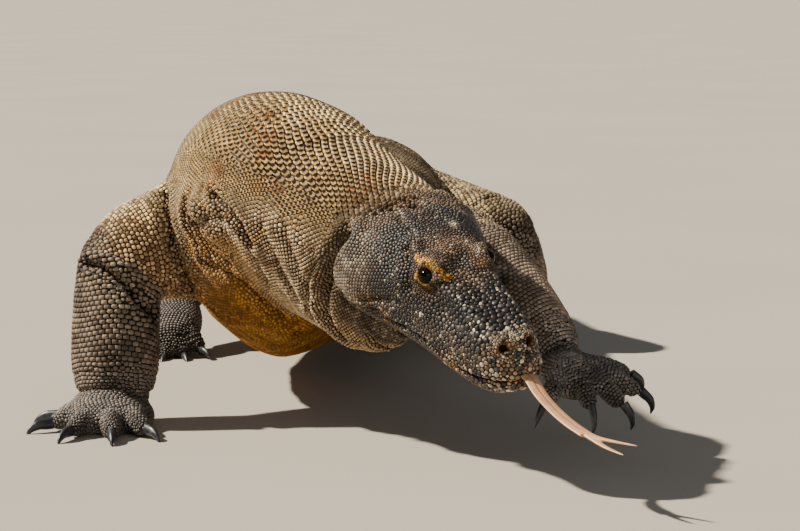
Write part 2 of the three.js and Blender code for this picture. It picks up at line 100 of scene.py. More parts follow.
HEAD_SQUARENESS = (2.35, 2.35)

# Swellings: middle with y outwards, radius and height, in head lengths.
HEAD_BUMPS = [
    ((0.47, 0.15, 0.165), 0.125, 0.04),      # brow ridge
    ((0.10, 0.29, -0.06), 0.2, 0.03),        # jaw muscle
    ((0.88, 0.12, 0.06), 0.08, 0.012),       # nostril
    ((0.30, 0.2, 0.12), 0.1, -0.014),        # temple
    ((0.64, 0.17, 0.04), 0.1, -0.012),       # cheek in front of the eye
]

# Head: the line between the lips, seen from the side, the nostril and the ear, in head lengths.
MOUTH_LINE = [(1.1, -0.08), (0.97, -0.085), (0.83, -0.11), (0.72, -0.127), (0.6, -0.12), (0.45, -0.112),
              (0.27, -0.14)]

NOSTRIL_AT = (0.948, 0.051, 0.044)
EAR_AT = (0.0, 0.272, 0.02)

# Limbs: the joints, and the radii of the two segments at their start, middle and end.
LIMBS = {
    "arm_right": {
        "parts": ("upper_arm_right", "forearm_right"),
        "joints": ((-134, 100, 158), (-237, 46, 138), (-236, 12, 33)),
        "radii": (((66, 68), (48, 51), (31, 31)), ((33, 29), (37, 32), (38, 29))),
        "hints": ((0, 0, 1), (0, -1, 0.2)),
    },
    "arm_left": {
        "parts": ("upper_arm_left", "forearm_left"),
        "joints": ((-66, 82, 166), (60, -46, 153), (117, -124, 82)),
        "radii": (((54, 54), (38, 38), (29, 29)), ((30, 30), (31, 32), (24, 21))),
        "hints": ((0, 0, 1), (0, -1, 0.2)),
    },
    "leg_right": {
        "parts": ("thigh_right", "shank_right"),
        "joints": ((-96, 596, 126), (-218, 522, 122), (-216, 438, 54)),
        "radii": (((56, 52), (49, 44), (36, 36)), ((34, 36), (30, 33), (21, 24))),
        "hints": ((0, 0, 1), (0, -1, 0)),
    },
    "leg_left": {
        "parts": ("thigh_left", "shank_left"),
        "joints": ((4, 580, 126), (106, 446, 110), (131, 506, 30)),
        "radii": (((56, 52), (49, 44), (36, 36)), ((34, 36), (31, 36), (21, 24))),
        "hints": ((0, 0, 1), (0, -1, 0)),
    },
}

KNUCKLE_REACH = 0.8
LONGEST_ROUNDING = 0.45

# Hands and feet: digits are (turn in degrees towards the outer side, reach), first digit first.
PAWS = {
    "hand_right": {
        "side": -1, "heel": (-240, 2, 0), "forward": (0, -1, 0), "normal": (0, 0, 1),
        "palm": (38, 37, 22), "radius": 8.8, "claw": 23, "rise": -14,
        "digits": ((-34, 66), (-8, 70), (22, 64), (60, 52), (102, 45)),
    },
    "hand_left": {
        "side": 1, "heel": (126, -142, 66), "forward": (0.55, -0.68, -0.48), "normal": (0.22, -0.44, 0.87),
        "palm": (24, 25, 14.5), "radius": 7.4, "claw": 19, "rise": -44,
        "digits": ((-56, 56), (-14, 48), (17, 55), (43, 60), (64, 53)),
    },
    "foot_left": {
        "side": 1, "heel": (122, 470, 0), "forward": (-0.06, -0.998, 0), "normal": (0, 0, 1),
        "palm": (30, 52, 22), "radius": 9.2, "claw": 22, "rise": -14,
        "digits": ((-34, 62), (-13, 80), (6, 94), (24, 98), (46, 56)),
    },
    "foot_right": {
        "side": -1, "heel": (-222, 414, 27), "forward": (0, -0.84, -0.54), "normal": (0, -0.54, 0.84),
        "palm": (27, 44, 20), "radius": 8.6, "claw": 21, "rise": 22,
        "digits": ((-31, 56), (-13, 58), (6, 58), (27, 60), (52, 56)),
    },
}

PALM_FORWARD = 6
PALM_HEIGHT = 0.42
DIGIT_PROFILE = [          # share of the reach, extra reach, height and section in digit radii
    (0, 8, 1.6, (1.25, 1.1, 1.3)), (0.5, 4, 1.5, (1.02, 1, 1.1)),
    (0.8, 0, 1.05, (0.92, 0.92, 0.98)), (1, 0, 0.76, (0.7, 0.7, 0.76)),
]

CLAW_PROFILE = [           # along in claw lengths, arch in mm, share of the root's section
    (-0.1, 0, 1), (0.1, 0.9, 0.97), (0.4, 2.2, 0.82), (0.75, 0.6, 0.5), (1, -3.4, 0.12),
]

CLAW_SECTION = (0.42, 0.58, 0.58)
TONGUE_STEM = [(84, -252, 89), (92.8, -270, 84.2), (100, -284, 74.4), (109.4, -298, 65.4),
               (119.2, -312, 58.6), (129, -325, 53.7)]

TONGUE_SIZE = (5.9, 1.7, 1.7)
TONGUE_TIPS = [
    [(126, -320.5, 55.6), (135, -331, 53), (146, -340, 52), (162.4, -354, 51.3)],
    [(126, -320.5, 55.4), (132.6, -331, 52.2), (140.2, -343, 48.8), (152.2, -360, 46)],
]

TONGUE_TIP_SIZE = (3.6, 1.7, 1.7)
TONGUE_TIP_SHARES = (1, 0.85, 0.6, 0.3)
COAT_DEPTH = {"body": 1.3, "head": 0.7, "palm": 0.9, "digit": 0.8}     # how far the skin lies inside


# ---- Relief of the skin, in the same millimetres ----

# Folds of the body: depth, half width and route.
FOLDS = [
    (11.0, 3.6, ((-262, 19, 135), (-247, 15, 131), (-235, 10, 125), (-226, 9, 116), (-216, 8, 105),
                (-205, 14, 92))),                                                       # elbow
    (7.5, 5.0, ((-194, 47, 187), (-193, 33, 172), (-190, 24, 156), (-186, 26, 139), (-180, 35, 122),
                (-176, 47, 108))),                                                      # before the arm
    (5.5, 3.6, ((-174, -3, 188), (-172, 0, 171), (-167, -2, 155), (-159, 0, 140), (-145, -8, 129))),
    (8.0, 3.8, ((-148, -44, 196), (-134, -62, 184), (-125, -69, 174), (-118, -71, 160))),
    (4.0, 4.4, ((-164, -16, 170), (-153, -34, 175), (-141, -53, 179))),
    (4.0, 4.4, ((-166, -10, 167), (-160, -14, 156), (-151, -14, 145), (-139, -22, 136))),
    (8.5, 4.8, ((-156, 2, 140), (-133, -16, 125), (-116, -10, 110), (-99, 4, 92), (-84, 40, 72))),
    (4.0, 4.0, ((-63, -123, 151), (-70, -109, 135), (-72, -93, 117), (-68, -76, 101))),
    (2.0, 4.6, ((-108, -87, 175), (-103, -87, 161), (-97, -87, 147), (-89, -84, 132), (-80, -81, 116))),
    (2.0, 4.6, ((-123, -69, 168), (-119, -67, 154), (-113, -61, 141), (-105, -56, 125))),
    (2.0, 4.6, ((-90, -105, 177), (-87, -105, 163), (-82, -105, 150), (-76, -104, 138), (-70, -100, 123))),
    (4.0, 2.4, ((-26, -118, 92), (-17, -110, 84), (-4, -104, 80), (12, -108, 80))),     # throat
    (3.6, 2.4, ((-26, -106, 82), (-12, -98, 76), (6, -96, 74))),
    (6.0, 5.0, ((-188, 62, 104), (-172, 58, 98), (-150, 62, 88))),                      # armpit
]

# The fold behind the jaw, in head lengths with y outwards, on both sides.
JAW_FOLD = (11.0, 5.5, ((0.019, 0.245, 0.087), (-0.001, 0.272, 0.015), (-0.03, 0.294, -0.077),
                       (-0.066, 0.308, -0.189), (-0.088, 0.31, -0.281), (-0.09, 0.291, -0.371),
                       (-0.062, 0.245, -0.438)))

# Rings round limbs and digits: start of the loft's name, share of its length, depth and half width.
RINGS = [
    ("forearm", 0.78, 1.2, 2.0), ("forearm", 0.86, 2.0, 2.2), ("forearm", 0.94, 2.0, 2.2),
    ("shank", 0.84, 1.2, 1.8), ("shank", 0.92, 1.5, 2.0),
    ("digit", 0.30, 0.6, 1.3), ("digit", 0.44, 0.9, 1.4), ("digit", 0.60, 0.7, 1.3),
    ("digit", 0.74, 0.9, 1.3), ("digit", 0.88, 0.6, 1.2),
    ("upper_arm_left", 0.72, 2.5, 4.0), ("thigh", 0.78, 2.5, 4.0), ("thigh", 0.2, 2.0, 6.0),
]

# Swellings between the folds: middle, radius and height.
SWELLINGS = [
    ((-158, -24, 184), 18, 8.5), ((-144, -34, 168), 19, 7.5), ((-180, 10, 170), 24, 3.5),
    ((-215, 60, 150), 36, 3.0),
]

# Ridges and grooves of the head: route in head lengths with y outwards, height and half width in mm.
HEAD_RIDGES = [
    (((0.30, 0.10, 0.185), (0.39, 0.122, 0.18), (0.47, 0.125, 0.18), (0.56, 0.115, 0.155),
      (0.68, 0.105, 0.115), (0.82, 0.085, 0.085)), 2.2, 4.0),                     # brow and snout edge
    (((0.50, 0.0, 0.18), (0.70, 0.0, 0.125), (0.90, 0.0, 0.095)), -1.6, 6.0),     # middle of the snout
    (((0.33, 0.135, 0.165), (0.37, 0.158, 0.14), (0.40, 0.178, 0.10), (0.44, 0.186, 0.06)), -2.6, 3.6),
    (((0.56, 0.15, 0.06), (0.66, 0.15, 0.04), (0.78, 0.145, 0.01)), -1.6, 5.0),
    (((0.12, 0.072, 0.2), (0.22, 0.076, 0.2), (0.31, 0.085, 0.19)), -2.0, 2.0),   # temple
    (((0.27, 0.245, -0.12), (0.20, 0.27, -0.16), (0.10, 0.285, -0.2)), -3.2, 3.0),
    (((0.40, 0.20, -0.02), (0.30, 0.235, -0.05), (0.20, 0.27, -0.1)), -1.8, 3.0),
    (((0.46, 0.178, 0.085), (0.50, 0.172, 0.075), (0.545, 0.152, 0.076), (0.58, 0.125, 0.10)), -1.2, 1.6),
]


# ---- Sizes and colours that a user would change ----


def colour(code):
    """Linear colour from six hexadecimal digits of the display colour."""
    parts = [int(code[i:i + 2], 16) / 255 for i in (0, 2, 4)]
    return tuple(p / 12.92 if p <= 0.04045 else ((p + 0.055) / 1.055) ** 2.4 for p in parts)


def length_property(name, description, millimetres):
    return FloatProperty(name=name, description=description, default=millimetres * MM,
                         subtype="DISTANCE", unit="LENGTH", precision=5)


def share_property(name, description, default):
    return FloatProperty(name=name, description=description, default=default, subtype="FACTOR")


def colour_property(name, description, code):
    return FloatVectorProperty(name=name, description=description, default=colour(code),
                               subtype="COLOR", size=3, min=0, max=1)


class DragonSkinSettings(bpy.types.PropertyGroup):
    """Sizes of the skin."""
    voxel: length_property("Voxel", "Size of the skin's quads before the head is refined", 3.6)
    smoothing: IntProperty(name="Smoothing", description="Passes over the joins of limbs", default=45)


class DragonScaleSettings(bpy.types.PropertyGroup):
    """Sizes of the scales."""
    gap: share_property("Gap", "Widens or narrows the bare skin between two scales", 1.0)
    height: share_property("Height", "Raises or flattens the scales", 1.0)
    patch: share_property("Patch", "Width of a scale on the coat's map", 0.003)
    relaxing: IntProperty(name="Relaxing", description="Passes that even out the spacing", default=5)


class DragonColours(bpy.types.PropertyGroup):
    """Colours of the animal."""
    bead: colour_property("Bead", "Dark tops of the large beads of the neck", "1c1510")
    sand: colour_property("Sand", "Sandy rims of the beads", "f0d8a8")
    rust: colour_property("Rust", "Skin between the beads of the neck", "8e5527")
    pale: colour_property("Pale", "Pale beads of the neck's sides", "dcc8a4")
    back: colour_property("Back", "Grey-brown scales of back and tail", "7a6b58")
    belly: colour_property("Belly", "Ochre scales of chest and belly", "ae7b32")
    arm: colour_property("Arm", "Brown scales of upper arms and thighs", "bda688")
    limb: colour_property("Limb", "Grey-brown plates of the limbs", "8d7b68")
    paw: colour_property("Paw", "Dark scales of hands and feet", "7b7167")
    head: colour_property("Head", "Charcoal scales of the head", "4c4c4e")
    head_brown: colour_property("Head, brown", "Brown areas of the head", "8f7358")
    jaw: colour_property("Jaw", "Grey beads of the jaw", "8c8377")
    speck: colour_property("Speck", "Pale scales of the snout", "ddd0b6")
    lip: colour_property("Lip", "Orange-brown lips", "8a5a30")
    gold: colour_property("Gold", "Golden skin of the eyelids", "e3a738")
    tongue: colour_property("Tongue", "Beige tongue", "c6966c")
    claw: colour_property("Claw", "Blue-black horn of the claws", "1d2024")


# ---- Lofts ----


def head_axes():
    """Columns: the head's forward, left and top directions."""
    yaw, pitch, roll = (math.radians(a) for a in (HEAD_YAW, HEAD_PITCH, HEAD_ROLL))
    forward = np.array([math.sin(yaw) * math.cos(pitch), -math.cos(yaw) * math.cos(pitch),
                        math.sin(pitch)])
    level = np.array([math.cos(yaw), math.sin(yaw), 0])
    crown = np.cross(forward, level)
    left = level * math.cos(roll) + crown * math.sin(roll)
    return np.stack([forward, left, np.cross(forward, left)], axis=1)


HEAD_AXES = head_axes()


def eye_in_walking_frame(side):
    place = np.array([EYE_AT[0], side * EYE_AT[1], EYE_AT[2]]) * HEAD_LENGTH
    return (HEAD_AXES @ place + HEAD_AT) * MM


def walking_offset():
    """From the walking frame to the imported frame, measured on the right eye."""
    low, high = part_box("eye_right")
    return (np.array(low) + np.array(high)) / 2 - eye_in_walking_frame(-1)


OFFSET = walking_offset()


def from_head(points):
    """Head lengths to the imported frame."""
    scaled = np.asarray(points, float) * HEAD_LENGTH
    return (scaled @ HEAD_AXES.T + HEAD_AT) * MM + OFFSET


def to_head(points):
    """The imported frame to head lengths."""
    return ((points - OFFSET) / MM - HEAD_AT) @ HEAD_AXES / HEAD_LENGTH


def unit(vectors):
    return vectors / np.maximum(np.linalg.norm(vectors, axis=-1, keepdims=True), 1e-12)


def smoothstep(low, high, value):
    share = np.clip((value - low) / (high - low), 0, 1)
    return share * share * (3 - 2 * share)


def curve_through(points, share):
    """Centripetal Catmull-Rom curve through the points, each stretch taking an equal share."""
    points = np.asarray(points, float)
    padded = np.vstack([2 * points[0] - points[1], points, 2 * points[-1] - points[-2]])
    place = np.clip(share, 0, 1) * (len(points) - 1)
    first = np.minimum(place.astype(int), len(points) - 2)
    u = (place - first)[..., None]
    p0, p1, p2, p3 = (padded[first + k] for k in range(4))
    step = [np.maximum(((b - a) ** 2).sum(-1, keepdims=True) ** 0.25, 1e-6)
            for a, b in ((p0, p1), (p1, p2), (p2, p3))]
    leave = ((p1 - p0) / step[0] - (p2 - p0) / (step[0] + step[1]) + (p2 - p1) / step[1]) * step[1]
    arrive = ((p2 - p1) / step[1] - (p3 - p1) / (step[1] + step[2]) + (p3 - p2) / step[2]) * step[1]
    return (p1 + leave * u + (3 * (p2 - p1) - 2 * leave - arrive) * u ** 2
            + (2 * (p1 - p2) + leave + arrive) * u ** 3)


def mirrored(place):
    """Places of the head with its right side folded onto the left."""
    folded = place.copy()
    folded[:, 1] = np.abs(place[:, 1])
    return folded


def mound(share):
    """A soft mound: 1 in the middle, 0 from a share of 1 outwards."""
    return np.where(share < 1, (1 - np.minimum(share, 1) ** 2) ** 2, 0)


def swell_head(points):
    """Swells or hollows points of the head's own frame, in millimetres, on both sides alike."""
    place = points / HEAD_LENGTH
    folded = mirrored(place)
    outwards = unit(folded * [0, 1, 1])
    push = np.zeros(len(points))
    for middle, radius, height in HEAD_BUMPS:
        push += height * HEAD_LENGTH * mound(np.linalg.norm(folded - middle, axis=1) / radius)
    side = np.where(place[:, 1] < 0, -1, 1)
    moved = points.copy()
    moved[:, 1] += side * outwards[:, 1] * push
    moved[:, 2] += outwards[:, 2] * push
    return moved


class Loft:
    """Rings of rounded sections along a curve, in millimetres of the walking frame."""

    def __init__(self, name, centres, sizes, hint=(0, 0, 1), squareness=(2, 2), rounding=(0, 0),
                 depth=0.0, in_head=False):
        self.name = name
        self.centres = np.asarray(centres, float)
        self.sizes = np.asarray(sizes, float)
        self.hint = np.asarray(hint, float)
        self.squareness = squareness
        self.rounding = rounding
        self.depth = depth
        self.in_head = in_head

    def shrink(self, share):
        start, end = self.rounding
        first = np.minimum(1, share / start) if start > 0 else np.ones_like(share)
        last = np.minimum(1, (1 - share) / end) if end > 0 else np.ones_like(share)
        quarter = [np.sqrt(np.maximum(1e-5, 1 - (1 - s) ** 2)) for s in (first, last)]
        return quarter[0] * quarter[1]

    def tangent(self, share, step):
        return unit(curve_through(self.centres, np.minimum(share + step, 1))
                    - curve_through(self.centres, np.maximum(share - step, 0)))

    def surface(self, share, angle, grow=0.0):
        """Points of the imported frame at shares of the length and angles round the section."""
        share, angle = np.broadcast_arrays(np.asarray(share, float), np.asarray(angle, float))
        share, angle = share.ravel(), angle.ravel()
        tangent = self.tangent(share, 1e-4)
        across = unit(np.cross(tangent, self.hint))
        over = unit(np.cross(across, tangent))
        size = curve_through(self.sizes, share) * self.shrink(share)[:, None] + grow
        size = np.maximum(size, 0.05)
        cosine, sine = np.cos(angle), np.sin(angle)
        power = 2 / np.where(sine < 0, self.squareness[1], self.squareness[0])
        height = np.where(sine < 0, size[:, 2], size[:, 1])
        wide = size[:, 0] * np.sign(cosine) * np.abs(cosine) ** power
        high = height * np.sign(sine) * np.abs(sine) ** power
        points = curve_through(self.centres, share) + across * wide[:, None] + over * high[:, None]
        if self.in_head:
            points = swell_head(points) @ HEAD_AXES.T + HEAD_AT
        return points * MM + OFFSET

    def axis(self, share):
        """Direction of the length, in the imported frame."""
        direction = self.tangent(share, 1e-3)
        return direction @ HEAD_AXES.T if self.in_head else direction

    def measure(self, shares=64, angles=48):
        """Length and mean girth of the loft, in metres."""
        t = np.linspace(0, 1, shares)
        a = np.linspace(0, 2 * math.pi, angles, endpoint=False)
        grid = self.surface(t[:, None], a[None, :]).reshape(shares, angles, 3)
        length = np.linalg.norm(np.diff(grid, axis=0), axis=2).mean(1).sum()
        girth = np.linalg.norm(grid - np.roll(grid, 1, axis=1), axis=2).sum(1).mean()
        return length, girth


def limb_loft(name, start, end, radii, hint):
    start, end = np.array(start, float), np.array(end, float)
    length = np.linalg.norm(end - start)
    along = (end - start) / length
    centres = [start - along * KNUCKLE_REACH * radii[0][0], (start + end) / 2,
               end + along * KNUCKLE_REACH * radii[2][0]]
    sizes = [(r[0], r[1], r[1]) for r in radii]
    rounding = [min(LONGEST_ROUNDING, r[0] / length) for r in (radii[0], radii[2])]
    return Loft(name, centres, sizes, hint, rounding=rounding, depth=COAT_DEPTH["body"])


def paw_axes(paw):
    forward = unit(np.array(paw["forward"], float))
    normal = unit(np.array(paw["normal"], float))
    out = unit(np.cross(normal, forward)) * paw["side"]
    return forward, out, normal


def paw_point(paw, forward_by, out_by, height):
    forward, out, normal = paw_axes(paw)
    return np.array(paw["heel"], float) + forward * forward_by + out * out_by + normal * height


def digit_point(paw, turn, reach, height):
    angle = math.radians(turn)
    return paw_point(paw, reach * math.cos(angle), reach * math.sin(angle), height)


def palm_loft(name, paw):
    width, length, height = paw["palm"]
    middle = PALM_HEIGHT * height
    centres = [paw_point(paw, PALM_FORWARD + s * length, 0, middle) for s in (-1, 0, 1)]
    sizes = [(width, height, height)] * 3
    return Loft("palm_" + name, centres, sizes, paw["normal"], rounding=(0.5, 0.5),
                depth=COAT_DEPTH["palm"])


def digit_loft(name, paw, number):
    turn, reach = paw["digits"][number]
    r = paw["radius"]
    centres = [digit_point(paw, turn, share * reach + extra, height * r)
               for share, extra, height, _ in DIGIT_PROFILE]
    sizes = [np.array(size) * r for *_, size in DIGIT_PROFILE]
    return Loft(f"digit_{name}_{number + 1}", centres, sizes, paw["normal"], rounding=(0, 0.12),
                depth=COAT_DEPTH["digit"])


def claw_loft(name, paw, number):
    turn, reach = paw["digits"][number]
    r = paw["radius"]
    rise = math.radians(paw["rise"])
    root = DIGIT_PROFILE[-1][2] * r
    centres, sizes = [], []
    for along, lift, share in CLAW_PROFILE:
        out = along * paw["claw"]
        centres.append(digit_point(paw, turn, reach + out * math.cos(rise) - lift * math.sin(rise),
                                   root + out * math.sin(rise) + lift * math.cos(rise)))
        sizes.append(np.array(CLAW_SECTION) * r * share)
    return Loft(f"claw_{name}_{number + 1}", centres, sizes, paw["normal"], squareness=(1.9, 1.5))


def body_lofts():
    """Every length of flesh."""
    head_centres = [(x * HEAD_LENGTH, 0, z * HEAD_LENGTH) for x, z, _ in HEAD_SECTIONS]
    head_sizes = [np.array(size) * HEAD_LENGTH for *_, size in HEAD_SECTIONS]
    lofts = [
        Loft("spine", [s[0] for s in SPINE], [s[1] for s in SPINE], squareness=SPINE_SQUARENESS,
             rounding=(0, 0.008), depth=COAT_DEPTH["body"]),
        Loft("head", head_centres, head_sizes, squareness=HEAD_SQUARENESS, depth=COAT_DEPTH["head"],
             in_head=True),
    ]
    for limb in LIMBS.values():
        start, bend, end = limb["joints"]
        for name, ends, radii, hint in zip(limb["parts"], ((start, bend), (bend, end)), limb["radii"],
                                           limb["hints"]):
            lofts.append(limb_loft(name, ends[0], ends[1], radii, hint))
    for name, paw in PAWS.items():
        lofts.append(palm_loft(name, paw))
        lofts += [digit_loft(name, paw, number) for number in range(5)]
    return lofts


# ---- Mesh helpers ----


def wrap_tube(bm, loft, rings, sides, grow=0.0):
    """Adds a loft to bm: a grid is wrapped into a tube and its first and last rows close the ends."""
    rows = rings + 2
    made = bmesh.ops.create_grid(bm, x_segments=sides, y_segments=rows, size=0.5)["verts"]
    flat = np.array([v.co for v in made])
    row = np.rint((flat[:, 1] + 0.5) * rows)
    angle = (flat[:, 0] + 0.5) * 2 * math.pi
    share = np.clip((row - 1) / (rows - 2), 0, 1)
    if max(loft.rounding) > 0.1:
        share = (1 - np.cos(math.pi * share)) / 2
    points = loft.surface(share, angle, grow)
    for end, at in ((0, 0.0), (rows, 1.0)):
        ring = loft.surface(at, np.linspace(0, 2 * math.pi, sides, endpoint=False), grow)
        points[row == end] = ring.mean(0)
    for vertex, point in zip(made, points):
        vertex.co = point
    bmesh.ops.remove_doubles(bm, verts=made, dist=1e-6)


def add_object(name, data):
    """A new object in the scene."""
    made = bpy.data.objects.new(name, data)
    bpy.context.scene.collection.objects.link(made)
    return made


def object_from_bmesh(name, bm):
    bmesh.ops.recalc_face_normals(bm, faces=bm.faces)
    mesh = bpy.data.meshes.new(name)
    bm.to_mesh(mesh)
    bm.free()
    mesh.shade_smooth()
    return add_object(name, mesh)


def read_array(collection, attribute, width, kind=np.float32):
    """Numbers of a mesh's vertices, edges or faces, one row for each."""
    values = np.empty(len(collection) * width, kind)
    collection.foreach_get(attribute, values)
    return values.reshape(-1, width).astype(float if kind is np.float32 else int)


def vertex_array(mesh):
    return read_array(mesh.vertices, "co", 3)


def normal_array(mesh):
    return read_array(mesh.vertex_normals, "vector", 3)


def edge_array(mesh):
    return read_array(mesh.edges, "vertices", 2, np.int32)


def set_vertices(mesh, points):
    mesh.vertices.foreach_set("co", points.astype(np.float32).ravel())
    mesh.update()


def neighbour_mean(values, edges):
    """Mean of each vertex's neighbours along the edges."""
    count = np.bincount(edges.ravel(), minlength=len(values)).astype(float)
    columns = []
    for column in values.reshape(len(values), -1).T:
        total = np.bincount(edges[:, 0], column[edges[:, 1]], len(values))
        total += np.bincount(edges[:, 1], column[edges[:, 0]], len(values))
        columns.append(total / np.maximum(count, 1))
    return np.stack(columns, axis=1).reshape(values.shape)


def tree_of(places):
    """A tree that finds the nearest of the places."""
    tree = KDTree(len(places))
    for index, place in enumerate(places.tolist()):
        tree.insert(place, index)
    tree.balance()
    return tree


def nearest_on(tree, points):
    """Nearest points and face indices on a BVH tree."""
    found = [tree.find_nearest(point) for point in points.tolist()]
    places = np.array([f[0] for f in found])
    normals = np.array([f[1] for f in found])
    faces = np.array([f[2] for f in found])
    return places, normals, faces


def store_float(mesh, name, values):
    attribute = mesh.attributes.new(name, "FLOAT", "POINT")
    attribute.data.foreach_set("value", np.asarray(values, np.float32))


def store_colour(mesh, name, rgb):
    attribute = mesh.attributes.new(name, "FLOAT_COLOR", "POINT")
    rgba = np.ones((len(rgb), 4), np.float32)
    rgba[:, :3] = rgb
    attribute.data.foreach_set("color", rgba.ravel())


def value_noise(points, scale, seed=0):
    """Smooth noise from 0 to 1 with features of about `scale` metres."""
    place = points / scale + seed * 17.31
    cell = np.floor(place).astype(np.int64)
    f = place - cell
    f = f * f * (3 - 2 * f)
    total = np.zeros(len(points))
    for corner in np.ndindex(2, 2, 2):
        c = cell + corner
        mixed = (c[:, 0] * 73856093) ^ (c[:, 1] * 19349663) ^ (c[:, 2] * 83492791) ^ (seed * 2654435)
        mixed = (mixed ^ (mixed >> 13)) * 1274126177
        value = ((mixed ^ (mixed >> 16)) & 0xFFFF) / 0xFFFF
        weight = np.prod(np.where(corner, f, 1 - f), axis=1)
        total += value * weight
    return total


def layered_noise(points, scale, seed=0):
    return (value_noise(points, scale, seed) * 0.55 + value_noise(points, scale / 2.1, seed + 1) * 0.3
            + value_noise(points, scale / 4.3, seed + 2) * 0.15)


def distance_to_route(points, route):
    """Distance of each point from a polyline."""
    best = np.full(len(points), np.inf)
    for start, end in zip(route[:-1], route[1:]):
        stretch = end - start
        share = np.clip((points - start) @ stretch / max(stretch @ stretch, 1e-12), 0, 1)
        best = np.minimum(best, np.linalg.norm(points - (start + share[:, None] * stretch), axis=1))
    return best


class Atlas:
    """Finds, for points near the body, the loft they belong to and their place on it."""

    GRAIN = 0.004

    def __init__(self, lofts):
        self.lofts = lofts
        places, owners, shares, angles = [], [], [], []
        for index, loft in enumerate(lofts):
            length, girth = loft.measure()
            rows = max(8, int(length / self.GRAIN))
            columns = max(12, int(girth / self.GRAIN))
            t, a = np.meshgrid((np.arange(rows) + 0.5) / rows,
                               np.arange(columns) * 2 * math.pi / columns, indexing="ij")
            places.append(loft.surface(t, a))
            owners.append(np.full(t.size, index))
            shares.append(t.ravel())
            angles.append(a.ravel())
        self.places = np.concatenate(places)
        self.owners = np.concatenate(owners)
        self.shares = np.concatenate(shares)
        self.angles = np.concatenate(angles)
        self.tree = tree_of(self.places)

    def locate(self, points):
        """Owner, share and angle for each point, refined between the samples."""
        nearest = np.array([self.tree.find(point)[1] for point in points.tolist()])
        owner = self.owners[nearest]
        share = self.shares[nearest].copy()
        angle = self.angles[nearest].copy()
        step_t, step_a = 2e-3, 2e-2
        for index in np.unique(owner):
            mine = np.nonzero(owner == index)[0]
            loft = self.lofts[index]
            t, a = share[mine], angle[mine]
            base = loft.surface(t, a)
            along = (loft.surface(np.minimum(t + step_t, 1), a) - base) / step_t
            around = (loft.surface(t, a + step_a) - base) / step_a
            miss = points[mine] - base
            share[mine] = np.clip(t + (miss * along).sum(1) / np.maximum((along ** 2).sum(1), 1e-12), 0, 1)
            angle[mine] = a + (miss * around).sum(1) / np.maximum((around ** 2).sum(1), 1e-12)
        return owner, share, angle

    def directions(self, owner, share):
        result = np.zeros((len(owner), 3))
        for index in np.unique(owner):
            mine = owner == index
            result[mine] = self.lofts[index].axis(share[mine])
        return result


def station_of(share):
    return share * (len(SPINE) - 1)


def beside_trunk(points, spine):
    """Station of the spine beside each point, and its height from -1 (belly) to 1 (back)."""
    share = np.linspace(0, 1, 241)
    centres = curve_through(spine.centres, share) * MM + OFFSET
    sizes = curve_through(spine.sizes, share) * MM
    index = np.concatenate([((part[:, None, :] - centres[None]) ** 2).sum(2).argmin(1)
                            for part in np.array_split(points, max(1, len(points) // 20000))])
    rise = points[:, 2] - centres[index, 2]
    height = rise / np.where(rise > 0, sizes[index, 1], sizes[index, 2])
    return share[index] * (len(SPINE) - 1), np.clip(height, -1.2, 1.2)


# ---- Shape of the skin ----

GAZE = np.array([0.38, 0.74, 0.55])          # where an eye looks, y outwards
LID_ANGLE = 50.0                             # degrees from the gaze to the edge of the lids

# Relief of eyes, nostrils, lips and ears, in millimetres.
LID_THICKNESS, LID_EDGE, BROW_HEIGHT, WRINKLE_HEIGHT = 0.8, 0.7, 5.2, 0.75
NOSTRIL_DEPTH, NOSTRIL_RIM = 5.5, 1.3
MOUTH_DEPTH, UPPER_LIP, LOWER_LIP = 3.6, 1.5, 0.8
EAR_DEPTH, EAR_RIM = 6.0, 1.2
UNEVENNESS = 4.0            # of the whole body
FLOOR_GAP = 0.4             # between the floor and the skin


def eye_centre(side):
    return eye_in_walking_frame(side) + OFFSET


def eye_gaze(side):
    return unit(HEAD_AXES @ (GAZE * [1, side, 1]))


def brow_of_eye(side):
    """Direction from the middle of an eye to its brow: up, forwards and inwards, across the gaze."""
    gaze = eye_gaze(side)
    wanted = HEAD_AXES @ np.array([0.42, -0.40 * side, 0.80])
    return unit(wanted - gaze * (wanted @ gaze))


def from_eye(points, side):
    """Directions and distances of points from an eye's middle, their angles from its gaze in degrees,
    and how far they lie towards its brow, from -1 to 1."""
    gaze = eye_gaze(side)
    away = points - eye_centre(side)
    distance = np.linalg.norm(away, axis=1)
    way = away / np.maximum(distance, 1e-9)[:, None]
    turn = np.degrees(np.arccos(np.clip(way @ gaze, -1, 1)))
    level = unit(way - gaze * (way @ gaze)[:, None])
    return way, distance, turn, np.clip(level @ brow_of_eye(side), -1, 1)


def shape_eyes(points):
    """Lays the lids over the eyeballs, with a brow above, and opens them towards the gaze."""
    radius = EYE_RADIUS * MM
    for side in (-1, 1):
        centre = eye_centre(side)
        near = np.nonzero(np.linalg.norm(points - centre, axis=1) < 3.2 * radius)[0]
        way, distance, turn, upper = from_eye(points[near], side)
        past = turn - (LID_ANGLE - 3 * smoothstep(0.3, 0.9, upper) - 3 * smoothstep(0.2, 0.9, -upper))
        lid = radius + (LID_THICKNESS + LID_EDGE * np.exp(-((past - 7) / 5) ** 2)) * MM
        lid += BROW_HEIGHT * MM * smoothstep(-0.25, 0.75, upper) * smoothstep(0, 14, past)
        hold = 1 - smoothstep(20, 60, past)
        covered = np.where(turn < 112, np.maximum(distance, lid * 0.97), distance)
        pulled = covered + (lid - covered) * hold
        wrinkle = np.sin((turn - 52) / 13.0 * 2 * math.pi) * WRINKLE_HEIGHT * MM
        ring = smoothstep(54, 60, turn) * (1 - smoothstep(96, 116, turn)) * smoothstep(0.45, 0.0, upper)
        pulled += wrinkle * ring
        pulled += (radius * 0.78 - pulled) * (1 - smoothstep(-2.5, 2.5, past))
        points[near] = centre + way * pulled[:, None]


